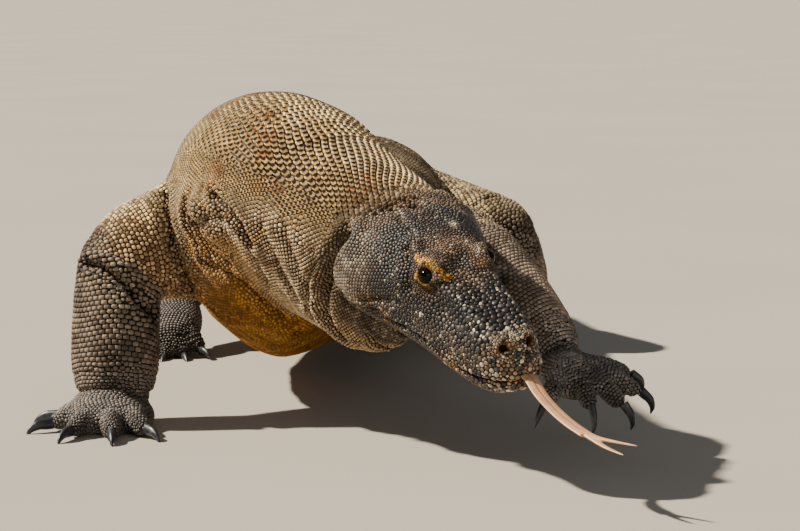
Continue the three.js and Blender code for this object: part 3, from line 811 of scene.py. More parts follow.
def nostril_axes():
    """The middle of each nostril's opening and the direction in which it leads inwards."""
    for side in (-1, 1):
        ends = from_head(np.array([NOSTRIL_AT, (NOSTRIL_AT[0] - 0.2, 0.02, -0.04)]) * [1, side, 1])
        yield ends[0], unit(ends[1] - ends[0])


def from_nostril(points, middle, inwards):
    """Distances of points from a nostril's axis, in millimetres, and which points are close to it."""
    away = points - middle
    across = np.linalg.norm(away - (away @ inwards)[:, None] * inwards, axis=1) / MM
    return across, np.linalg.norm(away, axis=1) < 16 * MM


def shape_nostrils(points):
    """Sinks a hole with a raised rim at each nostril."""
    for middle, inwards in nostril_axes():
        across, near = from_nostril(points, middle, inwards)
        d = across[near]
        push = NOSTRIL_DEPTH * np.exp(-(d / 3.2) ** 4) - NOSTRIL_RIM * np.exp(-((d - 5.2) / 1.5) ** 2)
        points[near] += inwards * push[:, None] * MM


def from_mouth(place):
    """Distance from the mouth line and height above it, in millimetres, seen from the side."""
    away = distance_to_route(place[:, [0, 2]], [np.array(p) for p in MOUTH_LINE]) * HEAD_LENGTH
    line = np.interp(-place[:, 0], [-p[0] for p in MOUTH_LINE], [p[1] for p in MOUTH_LINE])
    return away, (place[:, 2] - line) * HEAD_LENGTH


def shape_mouth(points, normals):
    """Parts the lips along the mouth line."""
    place = to_head(points)
    ahead, out, up = place.T
    index = np.nonzero((ahead > 0.25) & (ahead < 1.1) & (np.abs(out) < 0.3) & (up < 0.1) & (up > -0.3))[0]
    away, above = from_mouth(place[index])
    fade = smoothstep(0.27, 0.36, place[index, 0])
    push = -MOUTH_DEPTH * np.exp(-(away / 1.3) ** 2)
    push += np.where(above > 0, UPPER_LIP, LOWER_LIP) * np.exp(-((away - 3.6) / 2.4) ** 2)
    points[index] += normals[index] * (push * fade * MM)[:, None]


def shape_ears(points, normals):
    """Sinks the slanting slit of each ear."""
    for side in (-1, 1):
        place = to_head(points) * [1, side, 1]
        away = (place - EAR_AT) * HEAD_LENGTH
        slant = away[:, 0] - 0.25 * away[:, 2]
        d = np.sqrt((slant / 3.0) ** 2 + (away[:, 2] / 9.5) ** 2)
        near = (d < 4) & (place[:, 1] > 0.12)
        push = -EAR_DEPTH * np.exp(-d[near] ** 4) + EAR_RIM * np.exp(-((d[near] - 1.9) / 0.6) ** 2)
        points[near] += normals[near] * push[:, None] * MM


def ring_route(loft, share):
    """A closed line round a loft."""
    return list(loft.surface(share, np.linspace(0, 2 * math.pi, 25)))


def snapped(tree, route):
    places, _, _ = nearest_on(tree, np.asarray(route))
    return list(places)


def press_crease(points, normals, hollow, route, depth, width):
    """Presses a groove with soft shoulders along a route, and notes how deep each point lies in it."""
    route = np.asarray(route)
    margin = 5 * width
    inside = ((points > route.min(0) - margin) & (points < route.max(0) + margin)).all(1)
    index = np.nonzero(inside)[0]
    d = distance_to_route(points[index], route) / width
    push = -depth * np.exp(-d ** 2) + 0.3 * depth * np.exp(-((d - 2.1) / 1.1) ** 2)
    points[index] += normals[index] * push[:, None]
    hollow[index] = np.maximum(hollow[index], np.exp(-d ** 2) * min(1, max(depth, 0) / (5 * MM)))


def sculpt_skin(skin, lofts):
    """Adds muscles, folds, lids, lips, nostrils and ears to the skin.

    Returns how deep each point lies in a fold.
    """
    mesh = skin.data
    points = vertex_array(mesh)
    normals = normal_array(mesh)
    hollow = np.zeros(len(points))
    tree = BVHTree.FromObject(skin, bpy.context.evaluated_depsgraph_get())
    body = smoothstep(0.62, 0.85, np.linalg.norm(to_head(points), axis=1))
    high = smoothstep(0.02, 0.06, points[:, 2] - OFFSET[2])
    uneven = (layered_noise(points, 0.055, 61) - 0.5) * UNEVENNESS * MM * body * high
    points += normals * uneven[:, None]
    for middle, radius, height in SWELLINGS:
        away = np.linalg.norm(points - (np.array(middle) * MM + OFFSET), axis=1) / (radius * MM)
        points += normals * (height * MM * mound(away))[:, None]

    creases = [(np.array(route) * MM + OFFSET, depth, width) for depth, width, route in FOLDS]
    depth, width, route = JAW_FOLD
    creases += [(from_head(np.array(route) * [1, side, 1]), depth, width) for side in (-1, 1)]
    creases = [(snapped(tree, route), depth, width) for route, depth, width in creases]
    creases += [(ring_route(loft, share), depth, width) for start, share, depth, width in RINGS
                for loft in lofts if loft.name.startswith(start)]
    creases += [(snapped(tree, from_head(np.array(route) * [1, side, 1])), -height, width)
                for route, height, width in HEAD_RIDGES for side in (-1, 1)]
    for route, depth, width in creases:
        press_crease(points, normals, hollow, route, depth * MM, width * MM)
    shape_mouth(points, normals)
    shape_ears(points, normals)
    shape_nostrils(points)
    shape_eyes(points)
    points[:, 2] = np.maximum(points[:, 2], OFFSET[2] + FLOOR_GAP * MM)
    set_vertices(mesh, points)
    return hollow


# ---- Markings, shared by the skin and the scales ----

# Patches of the head: middle (y outwards) and radius in head lengths, colour, brightness, strength.
HEAD_PATCHES = [
    ((0.24, 0.11, 0.185), 0.065, "head", 0.45, 0.85),       # dark temple
    ((0.27, 0.0, 0.20), 0.09, "head", 0.50, 0.7),           # crown
    ((0.44, 0.03, 0.18), 0.10, "head_brown", 0.75, 0.6),
    ((0.59, 0.05, 0.135), 0.06, "head_brown", 1.6, 0.8),    # between the eyes
    ((0.50, 0.175, 0.055), 0.06, "head", 0.25, 0.85),       # below the eye
    ((0.55, 0.165, 0.0), 0.06, "head", 0.40, 0.7),
    ((0.52, 0.0, 0.18), 0.10, "head_brown", 1.15, 0.7),
    ((0.22, 0.05, 0.20), 0.10, "head", 0.75, 0.6),
    ((0.385, 0.165, 0.12), 0.05, "head", 0.18, 0.95),       # painted shade in the groove behind the eye
    # painted shade, lower down the groove behind the eye
    ((0.42, 0.185, 0.06), 0.045, "head", 0.22, 0.8),
    ((0.11, 0.28, 0.04), 0.08, "speck", 0.50, 0.55),        # jaw muscle
    ((0.26, 0.25, -0.13), 0.09, "belly", 0.50, 0.75),
    ((0.30, 0.24, 0.0), 0.06, "head", 0.60, 0.7),
    ((0.76, 0.10, 0.05), 0.10, "head", 0.75, 0.6),
    ((0.82, 0.14, -0.07), 0.04, "lip", 0.60, 0.5),
    ((0.99, 0.06, -0.07), 0.03, "lip", 1.2, 0.8),
    ((0.70, 0.15, -0.17), 0.10, "belly", 0.60, 0.7),        # below the mouth
]

TEMPLE_STREAK = ((0.116, 0.065, 0.196), (0.181, 0.072, 0.196), (0.247, 0.08, 0.193),
                 (0.32, 0.087, 0.186))

# Golden skin round an eye: the band above it, the lower lid's arc and a spot behind it.
GOLD_BAND = ((0.386, 0.122, 0.169), (0.431, 0.133, 0.17), (0.463, 0.124, 0.172), (0.483, 0.108, 0.164),
             (0.51, 0.096, 0.153), (0.548, 0.078, 0.142))

GOLD_ARC = ((0.447, 0.151, 0.116), (0.478, 0.159, 0.109), (0.507, 0.157, 0.107), (0.53, 0.143, 0.107))
GOLD_SPOT = (0.458, 0.169, 0.133)
LEFT_GOLD_IN_PAINTED_SHADE = 0.12      # strength of the left eye's golden skin on the shaded side, dimmed as painted shade


class Palette:
    """The animal's colours as arrays."""

    def __init__(self, settings):
        for key in DragonColours.__annotations__:
            setattr(self, key, np.array(getattr(settings, key)))


def blend(a, b, amount):
    amount = np.clip(amount, 0, 1)[:, None]
    return a * (1 - amount) + b * amount


def lay(tones, amount, **layers):
    """Lays colours over the tones of rim, top and skin."""
    for part, layer in layers.items():
        tones[part] = blend(tones[part], layer, amount)


def starts(names, *beginnings):
    """Which names start with one of the beginnings."""
    return np.any([np.char.startswith(names, beginning) for beginning in beginnings], axis=0)


def limb_shares(names, share):
    """How much each point belongs to the limbs, to their lower segments, and to the paws."""
    upper = starts(names, "upper_arm", "thigh")
    lower = starts(names, "forearm", "shank")
    paw = starts(names, "palm", "digit")
    limb = np.where(upper, smoothstep(0.22, 0.55, share), 0.0) + lower + paw
    plated = np.where(upper, smoothstep(0.86, 1.0, share), 0.0) + lower + paw
    dark = np.where(lower, smoothstep(0.7, 1.0, share), 0.0) + paw
    return limb, plated, dark


class BodySpots:
    """What the markings of the body depend on at each point."""

    def __init__(self, points, luck, spine):
        self.points = points
        self.luck = luck
        self.station, self.height = beside_trunk(points, spine)
        self.blotch = layered_noise(points, 0.060, 3)
        self.patchy = layered_noise(points, 0.022, 7)
        self.fine = layered_noise(points, 0.009, 9)
        self.rough_height = self.height + (self.patchy - 0.5) * 0.4


def trunk_markings(palette, at):
    """Colours of neck, trunk and tail."""
    rust, sand, pale, station, patchy = palette.rust, palette.sand, palette.pale, at.station, at.patchy
    tinge = layered_noise(at.points, 0.016, 17)
    upper = smoothstep(-0.15, 0.25, at.rough_height)
    lower = smoothstep(-0.15, -0.75, at.height + (patchy - 0.5) * 0.3)
    side = (1 - upper) * (1 - lower)
    sandy = 0.35 + upper * (0.4 + 0.25 * smoothstep(0.35, 0.6, patchy))
    tones = {
        "rim": blend(pale * 0.7, sand, sandy),
        "top": blend(pale * [0.92, 0.93, 0.96], palette.bead, upper),
        "skin": rust * 0.13,
    }
    lay(tones, (1 - upper) * (0.3 + 0.4 * (at.luck < 0.3)), top=rust * 0.5)
    rusty = smoothstep(0.50, 0.68, layered_noise(at.points, 0.026, 13)) * smoothstep(5.0, 4.0, station)
    lay(tones, rusty * (0.06 + 0.45 * (at.luck < 0.40)), rim=rust * 1.9)
    lay(tones, rusty * 0.6 * upper, skin=rust * 0.5)
    tones["rim"] = tones["rim"] * (1 - 0.55 * side + 0.16 * upper)[:, None]

    # Slate, golden and brown patches on the sides
    lay(tones, smoothstep(0.54, 0.62, patchy) * side * 0.75, top=pale * [0.34, 0.34, 0.38])
    lay(tones, smoothstep(0.60, 0.66, tinge) * side * 0.6, top=palette.gold * [0.85, 0.85, 0.9])
    lay(tones, smoothstep(0.42, 0.34, tinge) * side * 0.8, top=rust * 0.45)

    # Ochre chest and belly, and a brown throat
    ochre = blend(palette.belly, palette.back * 1.1, smoothstep(5.0, 7.5, station) * 0.75)
    dark = np.maximum(np.maximum(smoothstep(0.55, 0.68, at.fine), 0.8 * (at.luck < 0.15)),
                      smoothstep(0.46, 0.60, layered_noise(at.points, 0.035, 19)) * 0.75)
    lay(tones, lower * smoothstep(1.6, 3.5, station), rim=ochre * 0.75,
        top=blend(ochre, ochre * [0.36, 0.28, 0.22], dark), skin=ochre * 0.42)
    throat = smoothstep(1.7, 0.7, station) * smoothstep(0.45, 0.0, at.rough_height)
    brown = blend(rust * 0.5, palette.belly * 0.9, smoothstep(0.45, 0.6, tinge))
    lay(tones, throat * 0.35, top=brown, rim=brown * 0.7)

    # Grey-brown back and banded tail
    rear = smoothstep(3.4, 7.0, station + (patchy - 0.5)) * (1 - lower)
    grey = blend(palette.back, palette.back * 0.55, smoothstep(0.42, 0.66, at.blotch))
    grey = blend(grey, sand * 0.8, smoothstep(0.66, 0.78, patchy) * 0.5)
    lay(tones, rear, rim=grey * 0.7, top=grey, skin=grey * 0.3)
    bands = smoothstep(-0.2, 0.6, np.sin(station * 5.2 + patchy * 2)) * smoothstep(11, 13, station)
    tone = blend(palette.back * 0.75, palette.arm * 0.7, bands * 0.2)
    lay(tones, smoothstep(10.0, 12.0, station), rim=tone * 0.6, top=tone, skin=tone * 0.25)
    return tones


def mark_limbs(tones, palette, at, names, share):
    """Sandy upper arms and thighs, grey-brown plates below, and dark paws, each limb made darker or brighter
    as painted light and shade.
    """
    limb, plated, darker = limb_shares(names, share)
    underside = smoothstep(0.15, -0.45, at.height + (at.patchy - 0.5) * 0.5)
    top = blend(palette.sand * 0.9, palette.arm * 0.7, smoothstep(0.38, 0.58, at.patchy))
    top = blend(top, palette.bead * 2.5, 0.75 * (at.luck < 0.30))
    top = blend(top, palette.rust * 0.9, underside * 0.3)
    rim = blend(palette.sand * 0.6, palette.rust * 1.1, underside * 0.55)
    # painted shade: the sandy colours darker on the left upper arm and the thighs than elsewhere
    shade = np.where(names == "upper_arm_left", 0.52, np.where(starts(names, "thigh"), 0.55, 0.87))[:, None]
    lay(tones, limb * (1 - plated), top=top * shade, rim=rim * shade, skin=palette.rust * 0.2)
    plate = blend(palette.limb * 0.85, palette.limb * 0.42, smoothstep(0.42, 0.62, at.patchy))
    plate = blend(plate, palette.arm * 0.75, smoothstep(0.52, 0.68, at.blotch) * 0.5)
    paw = blend(palette.paw * 1.1, palette.paw * 0.45, smoothstep(0.40, 0.6, at.patchy))
    # painted light and shade: the plates of the right limbs darker, those of the left forearm brighter
    shade = np.where(np.char.find(names, "right") >= 0, 0.80, 0.92)
    shade = np.where(names == "forearm_left", 1.45, shade)[:, None]
    low = blend(plate, paw, darker) * shade * [1.0, 1.04, 1.14]
    lay(tones, plated, top=low, rim=low * 1.15, skin=low * 0.06)


def route_distance(place, route):
    """Distance from a route in head lengths, in millimetres."""
    return distance_to_route(place, [np.array(p) for p in route]) * HEAD_LENGTH


def gold_distance(place, route):
    """Distance from a route on the skin round an eye, along the skin."""
    outwards = unit(np.array([0.2, 0.6, 0.78]))
    route = np.array(route)
    return route_distance(place - (place @ outwards)[:, None] * outwards,
                          route - (route @ outwards)[:, None] * outwards)


def head_distance(place, spot):
    """Distance from a spot of the head, in millimetres, on either side."""
    return np.linalg.norm((mirrored(place) - spot) * HEAD_LENGTH, axis=1)


class HeadSpots:
    """What the markings of the head depend on at each point."""

    def __init__(self, points, luck):
        self.points = points
        self.luck = luck
        self.other = (luck * 7.31) % 1.0            # a second random number
        self.place = to_head(points)
        self.ahead = self.place[:, 0]
        self.up = self.place[:, 2]
        self.folded = mirrored(self.place)
        self.from_lips, self.above_lips = from_mouth(self.place)
        self.cloud = layered_noise(points, 0.026, 21)
        self.mottle = value_noise(points, 0.009, 25)
        self.nostril = head_distance(self.place, NOSTRIL_AT)


def head_ground(palette, at):
    """The head's colour: charcoal with brown clouds and darker and paler patches, among them painted shade in
    the groove behind each eye.
    """
    crown = smoothstep(0.06, 0.17, at.up) * smoothstep(0.80, 0.55, at.ahead)
    ground = blend(palette.head, palette.jaw, smoothstep(0.32, 0.12, at.ahead) * (1 - 0.5 * crown))
    browned = smoothstep(0.40, 0.60, at.cloud) * (0.25 + 0.6 * crown) + 0.5 * (at.other < 0.25)
    ground = blend(ground, palette.head_brown, browned)
    for middle, radius, key, brightness, strength in HEAD_PATCHES:
        away = np.linalg.norm(at.folded - middle, axis=1) / radius
        amount = strength * np.exp(-away ** 2 * 0.9) * (0.55 + 0.9 * smoothstep(0.35, 0.65, at.mottle))
        ground = blend(ground, getattr(palette, key) * brightness, amount)
    streak = np.exp(-(route_distance(at.folded, TEMPLE_STREAK) / 2.2) ** 2)
    ground = blend(ground, palette.speck * 0.8, streak * (0.5 + 0.5 * (at.mottle > 0.45)))
    ground = blend(ground, palette.arm * 0.45, smoothstep(-2, -10, at.above_lips) * 0.35)
    darker = 1 - 0.25 * smoothstep(0.5, 0.7, at.ahead)
    return ground * ((0.50 + 0.5 * smoothstep(0.3, 0.7, at.mottle)) * darker)[:, None]


def mark_snout(tones, palette, at):
    """Slate plates on the snout, brown at its tip, with pale specks and crusts."""
    slate = smoothstep(0.42, 0.62, at.ahead) * smoothstep(-0.02, 0.08, at.up + (at.cloud - 0.5) * 0.1)
    tones["top"] = tones["top"] * (1 - slate[:, None] * [0.50, 0.44, 0.30])
    tip = smoothstep(0.84, 0.95, at.ahead)
    lay(tones, tip * (at.other < 0.5) * 0.7, top=palette.head_brown * 1.1)
    above = smoothstep(-0.02, 0.03, at.up - NOSTRIL_AT[2])
    behind = smoothstep(0.03, -0.01, at.ahead - NOSTRIL_AT[0])
    around = np.exp(-((at.nostril - 9.5) / 4.5) ** 2) * above * behind
    front = smoothstep(0.50, 0.75, at.ahead)
    low_side = np.exp(-((at.above_lips - 9) / 8) ** 2)
    below = smoothstep(-2, -10, at.above_lips)
    lichen = smoothstep(0.66, 0.76, value_noise(at.points, 0.006, 45)) * smoothstep(0.45, 0.6, at.ahead)
    chance = 0.05 + 0.05 * front * low_side + 0.7 * around + 0.22 * lichen + 0.04 * below * front + 0.12 * tip
    pale = (at.luck < chance) * smoothstep(0.0, 0.3, at.ahead)
    lay(tones, pale * (0.6 + 0.35 * around), rim=palette.speck)
    lay(tones, pale * (0.85 - 0.75 * around), top=palette.speck * 0.85)
    crusted = smoothstep(0.62, 0.72, value_noise(at.points, 0.0022, 47)) * front * (0.4 + 0.6 * lichen)
    lay(tones, crusted * 0.8, rim=palette.speck * 0.9)


def mark_openings(tones, palette, at, ground):
    """Orange lips and nostril rims, with painted shade on the skin inside the nostrils and inside the mouth's
    slit, which turns red towards the front.
    """
    lips = np.exp(-(at.from_lips / 3.2) ** 2) * smoothstep(0.55, 0.9, at.ahead)
    lay(tones, lips * smoothstep(0.5, 0.7, at.mottle) * 0.7, top=palette.lip * 0.9)
    upper_lip = np.exp(-((at.above_lips - 3.4) / 2.0) ** 2) * (at.other < 0.35)
    lay(tones, upper_lip * 0.6, top=palette.speck * 0.7)
    orange = np.exp(-((at.nostril - 4.4) / 2.2) ** 2)
    orange = orange * smoothstep(0.30, 0.50, value_noise(at.points, 0.0045, 49))
    tones["skin"] = blend(ground * 0.22, palette.lip * 0.8, orange)
    lay(tones, orange * (at.mottle > 0.45) * 0.8, top=palette.lip * 1.1)
    # painted shade in the sunken slit between the lips, turning to a red lip colour at the front
    slit = np.exp(-(at.from_lips / 1.7) ** 2) * smoothstep(0.3, 0.4, at.ahead)
    red = smoothstep(0.80, 0.95, at.ahead)
    lay(tones, slit, skin=blend(palette.head * 0.1, palette.lip * [0.55, 0.25, 0.22], red))
    # painted shade inside each sunken nostril
    for middle, inwards in nostril_axes():
        across, near = from_nostril(at.points, middle, inwards)
        lay(tones, np.exp(-(across / 3.7) ** 6) * near, skin=palette.lip * 0.07)


def mark_eye(tones, palette, at, side):
    """Grey lids, a golden band, arc and spot, and a dark rim round an eye; on the left eye the gold is dimmed
    as painted shade.
    """
    _, distance, turn, upper = from_eye(at.points, side)
    close = smoothstep(22 * MM, 16 * MM, distance)
    grey = palette.head_brown * [0.20, 0.19, 0.23]
    lids = close * smoothstep(112, 90, turn) * smoothstep(0.6, 0.1, upper)
    lay(tones, lids * 0.8, top=grey, rim=grey * 0.5)
    lay(tones, lids, skin=grey * 0.5)
    # painted shade: the left eye's gold is dimmed
    seen = LEFT_GOLD_IN_PAINTED_SHADE if side > 0 else 1.0
    band = np.exp(-(gold_distance(at.folded, GOLD_BAND) / (3.2 + 1.5 * (at.mottle - 0.5))) ** 4)
    arc = np.exp(-(gold_distance(at.folded, GOLD_ARC) / 1.1) ** 2)
    spot = np.exp(-(gold_distance(at.folded, (GOLD_SPOT, GOLD_SPOT)) / 2.4) ** 4)
    broken = smoothstep(0.28, 0.40, value_noise(at.points, 0.003, 41)) * (at.other < 0.9)
    gold = np.maximum(band * broken, spot) * close * seen
    shade = palette.gold * [1.05, 0.95, 0.85] * (0.55 + 0.9 * at.other)[:, None]
    lay(tones, gold, top=shade, rim=shade * 0.6)
    lay(tones, np.maximum(gold * 0.7, arc * close * seen), skin=palette.gold * 0.7)
    lay(tones, smoothstep(LID_ANGLE, LID_ANGLE - 4, turn) * close, skin=palette.head * 0.08)


def head_markings(palette, points, luck):
    """Colours of the head, and how far they cover the rest's."""
    at = HeadSpots(points, luck)
    ground = head_ground(palette, at)
    tones = {"rim": ground * 0.5, "top": ground * (0.40 + 0.85 * at.other[:, None] ** 2)}
    mark_snout(tones, palette, at)
    mark_openings(tones, palette, at, ground)
    for side in (-1, 1):
        mark_eye(tones, palette, at, side)
    amount = smoothstep(-0.20, 0.10, at.ahead + (at.cloud - 0.5) * 0.12)
    within = smoothstep(0.46, 0.40, np.linalg.norm(at.place[:, 1:], axis=1)) * (at.ahead < 1.2)
    return tones, amount * within


def markings(settings, atlas, points, located, luck, hollow):
    """Linear colours at located points: rims and tops of scales, and the skin between them.

    luck is a random number from 0 to 1 for each scale, hollow how deep each point lies in a fold, where the
    colours are darkened as painted shade.
    """
    owner, share, _ = located
    names = np.array([loft.name for loft in atlas.lofts])[owner]
    palette = Palette(settings)
    at = BodySpots(points, luck, atlas.lofts[0])
    tones = trunk_markings(palette, at)
    mark_limbs(tones, palette, at, names, share)
    head, amount = head_markings(palette, points, luck)
    lay(tones, amount, **head)
    # random tone from the fine noise, and painted shade that darkens the folds by their depth
    shade = ((0.78 + 0.44 * at.fine) * (1 - 0.35 * hollow))[:, None]
    return tones["rim"] * shade, tones["top"] * shade, tones["skin"] * (1 - 0.5 * hollow)[:, None]


# ---- Skin ----

# Where the skin's quads are split again: millimetres round the paws, the eyes and the nostrils.
PAW_REACH = 85
EYE_REACH = 19
NOSTRIL_REACH = 11
FEWEST_FACES = 10000


def union_of_lofts(lofts):
    """One object that holds every loft as a closed tube, shrunk by its coat depth."""
    bm = bmesh.new()
    for loft in lofts:
        length, girth = loft.measure()
        fine = 0.0025 if loft.name.startswith(("digit", "palm", "head")) else 0.006
        rings = int(np.clip(length / fine, 12, 330))
        sides = int(np.clip(girth / fine, 20, 96))
        wrap_tube(bm, loft, rings, sides, grow=-loft.depth)
    return object_from_bmesh("lofts", bm)


def voxel_skin(source, voxel):
    """The outer surface of all the lofts as one closed mesh."""
    remesh = source.modifiers.new("voxels", "REMESH")
    remesh.mode = "VOXEL"
    remesh.voxel_size = voxel
    remesh.adaptivity = 0
    graph = bpy.context.evaluated_depsgraph_get()
    mesh = bpy.data.meshes.new_from_object(source.evaluated_get(graph))
    source.modifiers.remove(remesh)
    return mesh


def refine_faces(mesh, wanted):
    """Splits the faces whose centres `wanted` picks."""
    bm = bmesh.new()
    bm.from_mesh(mesh)
    centres = np.array([face.calc_center_median() for face in bm.faces])
    picked = wanted(centres)
    edges = {edge for face, pick in zip(bm.faces, picked) if pick for edge in face.edges}
    bmesh.ops.subdivide_edges(bm, edges=list(edges), cuts=1, use_grid_fill=True)
    bm.to_mesh(mesh)
    bm.free()
    mesh.update()


def near_head(centres):
    place = to_head(centres)
    return (place[:, 0] > -0.14) & (np.linalg.norm(place * [0.5, 1, 1], axis=1) < 0.62) & (place[:, 0] < 1.1)


def near_any(places, reach):
    """A test that picks what is near one of the places."""
    def picked(centres):
        return np.min([np.linalg.norm(centres - place, axis=1) for place in places], axis=0) < reach
    return picked


def settle_on_lofts(mesh, source, passes):
    """Pulls the voxel mesh onto the smooth lofts and rounds the joins between them."""
    graph = bpy.context.evaluated_depsgraph_get()
    tree = BVHTree.FromObject(source, graph)
    points = vertex_array(mesh)
    edges = edge_array(mesh)
    points = points * 0.4 + neighbour_mean(points, edges) * 0.6
    settled, normals, _ = nearest_on(tree, points)
    bend = np.zeros(len(points))
    dots = 1 - (normals[edges[:, 0]] * normals[edges[:, 1]]).sum(1)
    np.maximum.at(bend, edges[:, 0], dots)
    np.maximum.at(bend, edges[:, 1], dots)
    join = smoothstep(0.05, 0.22, bend)
    for _ in range(5):
        join = np.maximum(join, neighbour_mean(join, edges) * 1.02)
    join = np.clip(join, 0, 1)
    near = near_head(settled) & (to_head(settled)[:, 0] > 0.1)
    join[near] *= 0.15
    points = settled
    for _ in range(passes):
        points += (neighbour_mean(points, edges) - points) * (join * 0.6)[:, None]
    points += (neighbour_mean(points, edges) - points) * 0.3
    set_vertices(mesh, points)


class Finish:
    """A procedural material in object coordinates, with short ways to add its nodes."""

    def __init__(self, name):
        self.material = bpy.data.materials.new(name)
        self.material.use_nodes = True
        self.nodes = self.material.node_tree.nodes
        self.links = self.material.node_tree.links
        self.place = self.nodes.new("ShaderNodeTexCoord").outputs["Object"]

    def feed(self, node, inputs):
        """Links a node's inputs to sockets, or sets them to values."""
        for name, value in inputs.items():
            if isinstance(value, bpy.types.NodeSocket):
                self.links.new(value, node.inputs[name])
            else:
                node.inputs[name].default_value = value
        return node

    def add(self, kind, **inputs):
        return self.feed(self.nodes.new("ShaderNode" + kind), inputs)

    def attribute(self, name, output):
        node = self.nodes.new("ShaderNodeAttribute")
        node.attribute_name = name
        return node.outputs[output]

    def noise(self, scale, detail=3.0):
        node = self.add("TexNoise", Vector=self.place, Scale=scale, Detail=detail, Roughness=0.55)
        return node.outputs["Fac"]

    def ramp(self, factor, stops):
        """Colours between stops of (position, grey or colour)."""
        node = self.add("ValToRGB", Fac=factor)
        elements = node.color_ramp.elements
        while len(elements) < len(stops):
            elements.new(0.5)
        for element, (position, value) in zip(elements, stops):
            element.position = position
            rgb = (value,) * 3 if np.isscalar(value) else tuple(value)
            element.color = (*rgb, 1)
        return node.outputs["Color"]

    def product(self, first, second, amount=1.0):
        node = self.nodes.new("ShaderNodeMix")
        node.data_type = "RGBA"
        node.blend_type = "MULTIPLY"
        self.feed(node, {"Factor": amount, "A": first, "B": second})
        return node.outputs["Result"]

    def bump(self, height, strength, distance):
        return self.add("Bump", Height=height, Strength=strength, Distance=distance).outputs["Normal"]

    def shade(self, inputs):
        """Feeds the shader and returns the finished material."""
        self.feed(self.nodes["Principled BSDF"], inputs)
        return self.material


def skin_material():
    """Bare skin between the scales: the markings, with painted shade darkening the pores between the grains,
    and a fine grain.
    """
    finish = Finish("dragon_skin")
    clouds = finish.ramp(finish.noise(90), [(0.3, 0.6), (0.7, 1.15)])
    mottled = finish.product(finish.attribute("tint", "Color"), clouds)
    grains = finish.add("TexVoronoi", Vector=finish.place, Scale=620).outputs["Distance"]
    # painted shade: darker where the grain's bump lies low
    pores = finish.ramp(grains, [(0.0, 1.0), (0.8, 0.55)])
    return finish.shade({
        "Base Color": finish.product(mottled, pores, 0.7), "Normal": finish.bump(pores, 0.55, 0.0006),
        "Roughness": 0.62, "Specular IOR Level": 0.15,
    })


class DRAGON_OT_skin(bpy.types.Operator):
    """Grow the skin from the lofts and sculpt its folds, lids, lips and nostrils"""
    bl_idname = "dragon.skin"
    bl_label = "Skin"

    def execute(self, context):
        settings = context.scene.dragon_skin
        lofts = body_lofts()
        source = union_of_lofts(lofts)
        mesh = voxel_skin(source, settings.voxel)
        paws = [paw_point(paw, 40, 0, 0) * MM + OFFSET for paw in PAWS.values()]
        refine_faces(mesh, near_head)
        refine_faces(mesh, near_any(paws, PAW_REACH * MM))
        refine_faces(mesh, near_any([eye_centre(side) for side in (-1, 1)], EYE_REACH * MM))
        refine_faces(mesh, near_any([middle for middle, _ in nostril_axes()], NOSTRIL_REACH * MM))
        settle_on_lofts(mesh, source, settings.smoothing)
        bpy.data.objects.remove(source)
        mesh.name = "skin"
        mesh.shade_smooth()
        skin = add_object("skin", mesh)
        hollow = sculpt_skin(skin, lofts)
        store_float(mesh, "hollow", hollow)
        atlas = Atlas(lofts)
        points = vertex_array(mesh)
        *_, bare = markings(context.scene.dragon_colours, atlas, points, atlas.locate(points),
                            np.full(len(points), 0.5), hollow)
        store_colour(mesh, "tint", bare)
        mesh.materials.clear()
        mesh.materials.append(skin_material())
        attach(skin, "root")
        flesh = [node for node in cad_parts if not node.startswith(("eye", "tongue", "claw"))]
        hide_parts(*flesh)
        if len(mesh.polygons) < FEWEST_FACES:
            raise RuntimeError("the skin came out too coarse")
        return {"FINISHED"}


# ---- Scales ----

SEED = 11
ROUGHNESS = {"dry": 0.68, "horn": 0.44}
NEIGHBOURS = 12             # of a scale, that its outline is fitted to
LARGEST_SCALE = 7.5         # millimetres
ROW_CLOSENESS = 0.66        # shortest distance between scales of rows, as a share of their spacing

# Scale spacing in millimetres down the spine: station, on the back, on the sides and below.
SPINE_SPACING = [
    (0, 4.0, 3.6, 3.0), (1, 5.6, 3.9, 3.0), (2, 6.8, 3.8, 3.0), (3, 5.8, 3.5, 3.0), (4, 4.4, 3.5, 3.3),
    (5, 4.8, 4.6, 4.4), (6, 5.4, 5.2, 5.2), (8, 6.2, 6.2, 6.2), (13, 6.4, 6.4, 6.4), (16, 5.2, 5.2, 5.2),
    (20, 3.0, 3.0, 3.0),
]

# Edges of the bands of equal scales: sine of the angle round a section of the spine.
HIGH, LOW = 0.45, -0.15

# Rows of scales on limbs: start of the name, width of a scale at the start and the end, and the
# distance of the rows as a share of it.
LIMB_ROWS = [
    ("upper_arm_right", 4.0, 4.3, 0.88), ("upper_arm_left", 4.4, 4.2, 0.84),
    ("forearm_right", 5.4, 3.7, 0.80), ("forearm_left", 4.4, 3.6, 0.78), ("thigh", 5.4, 5.4, 0.86),
    ("shank", 5.4, 4.2, 0.80), ("palm", 3.5, 3.5, 0.84), ("digit", 3.4, 3.2, 0.80),
]

# Relief of scales: start of the loft's name, gap and height as shares of the spacing, and how much
# the scales form rings.
RELIEF = [
    ("spine", 0.13, 0.30, 0.0), ("head", 0.10, 0.25, 0.30), ("upper_arm", 0.15, 0.38, 0.25),
    ("thigh", 0.13, 0.34, 0.0), ("forearm", 0.09, 0.24, 0.7), ("shank", 0.09, 0.24, 0.7),
    ("palm", 0.13, 0.34, 0.9), ("digit", 0.13, 0.34, 0.9),
]

ROW_WAVE = 4 * MM        # how far rows of scales wander

# Passes of single scales: size factor, whether only the snout takes it in full, and closeness.
FILL_PASSES = [(1.25, True, 0.84), (0.92, True, 0.80), (0.58, False, 0.80)]

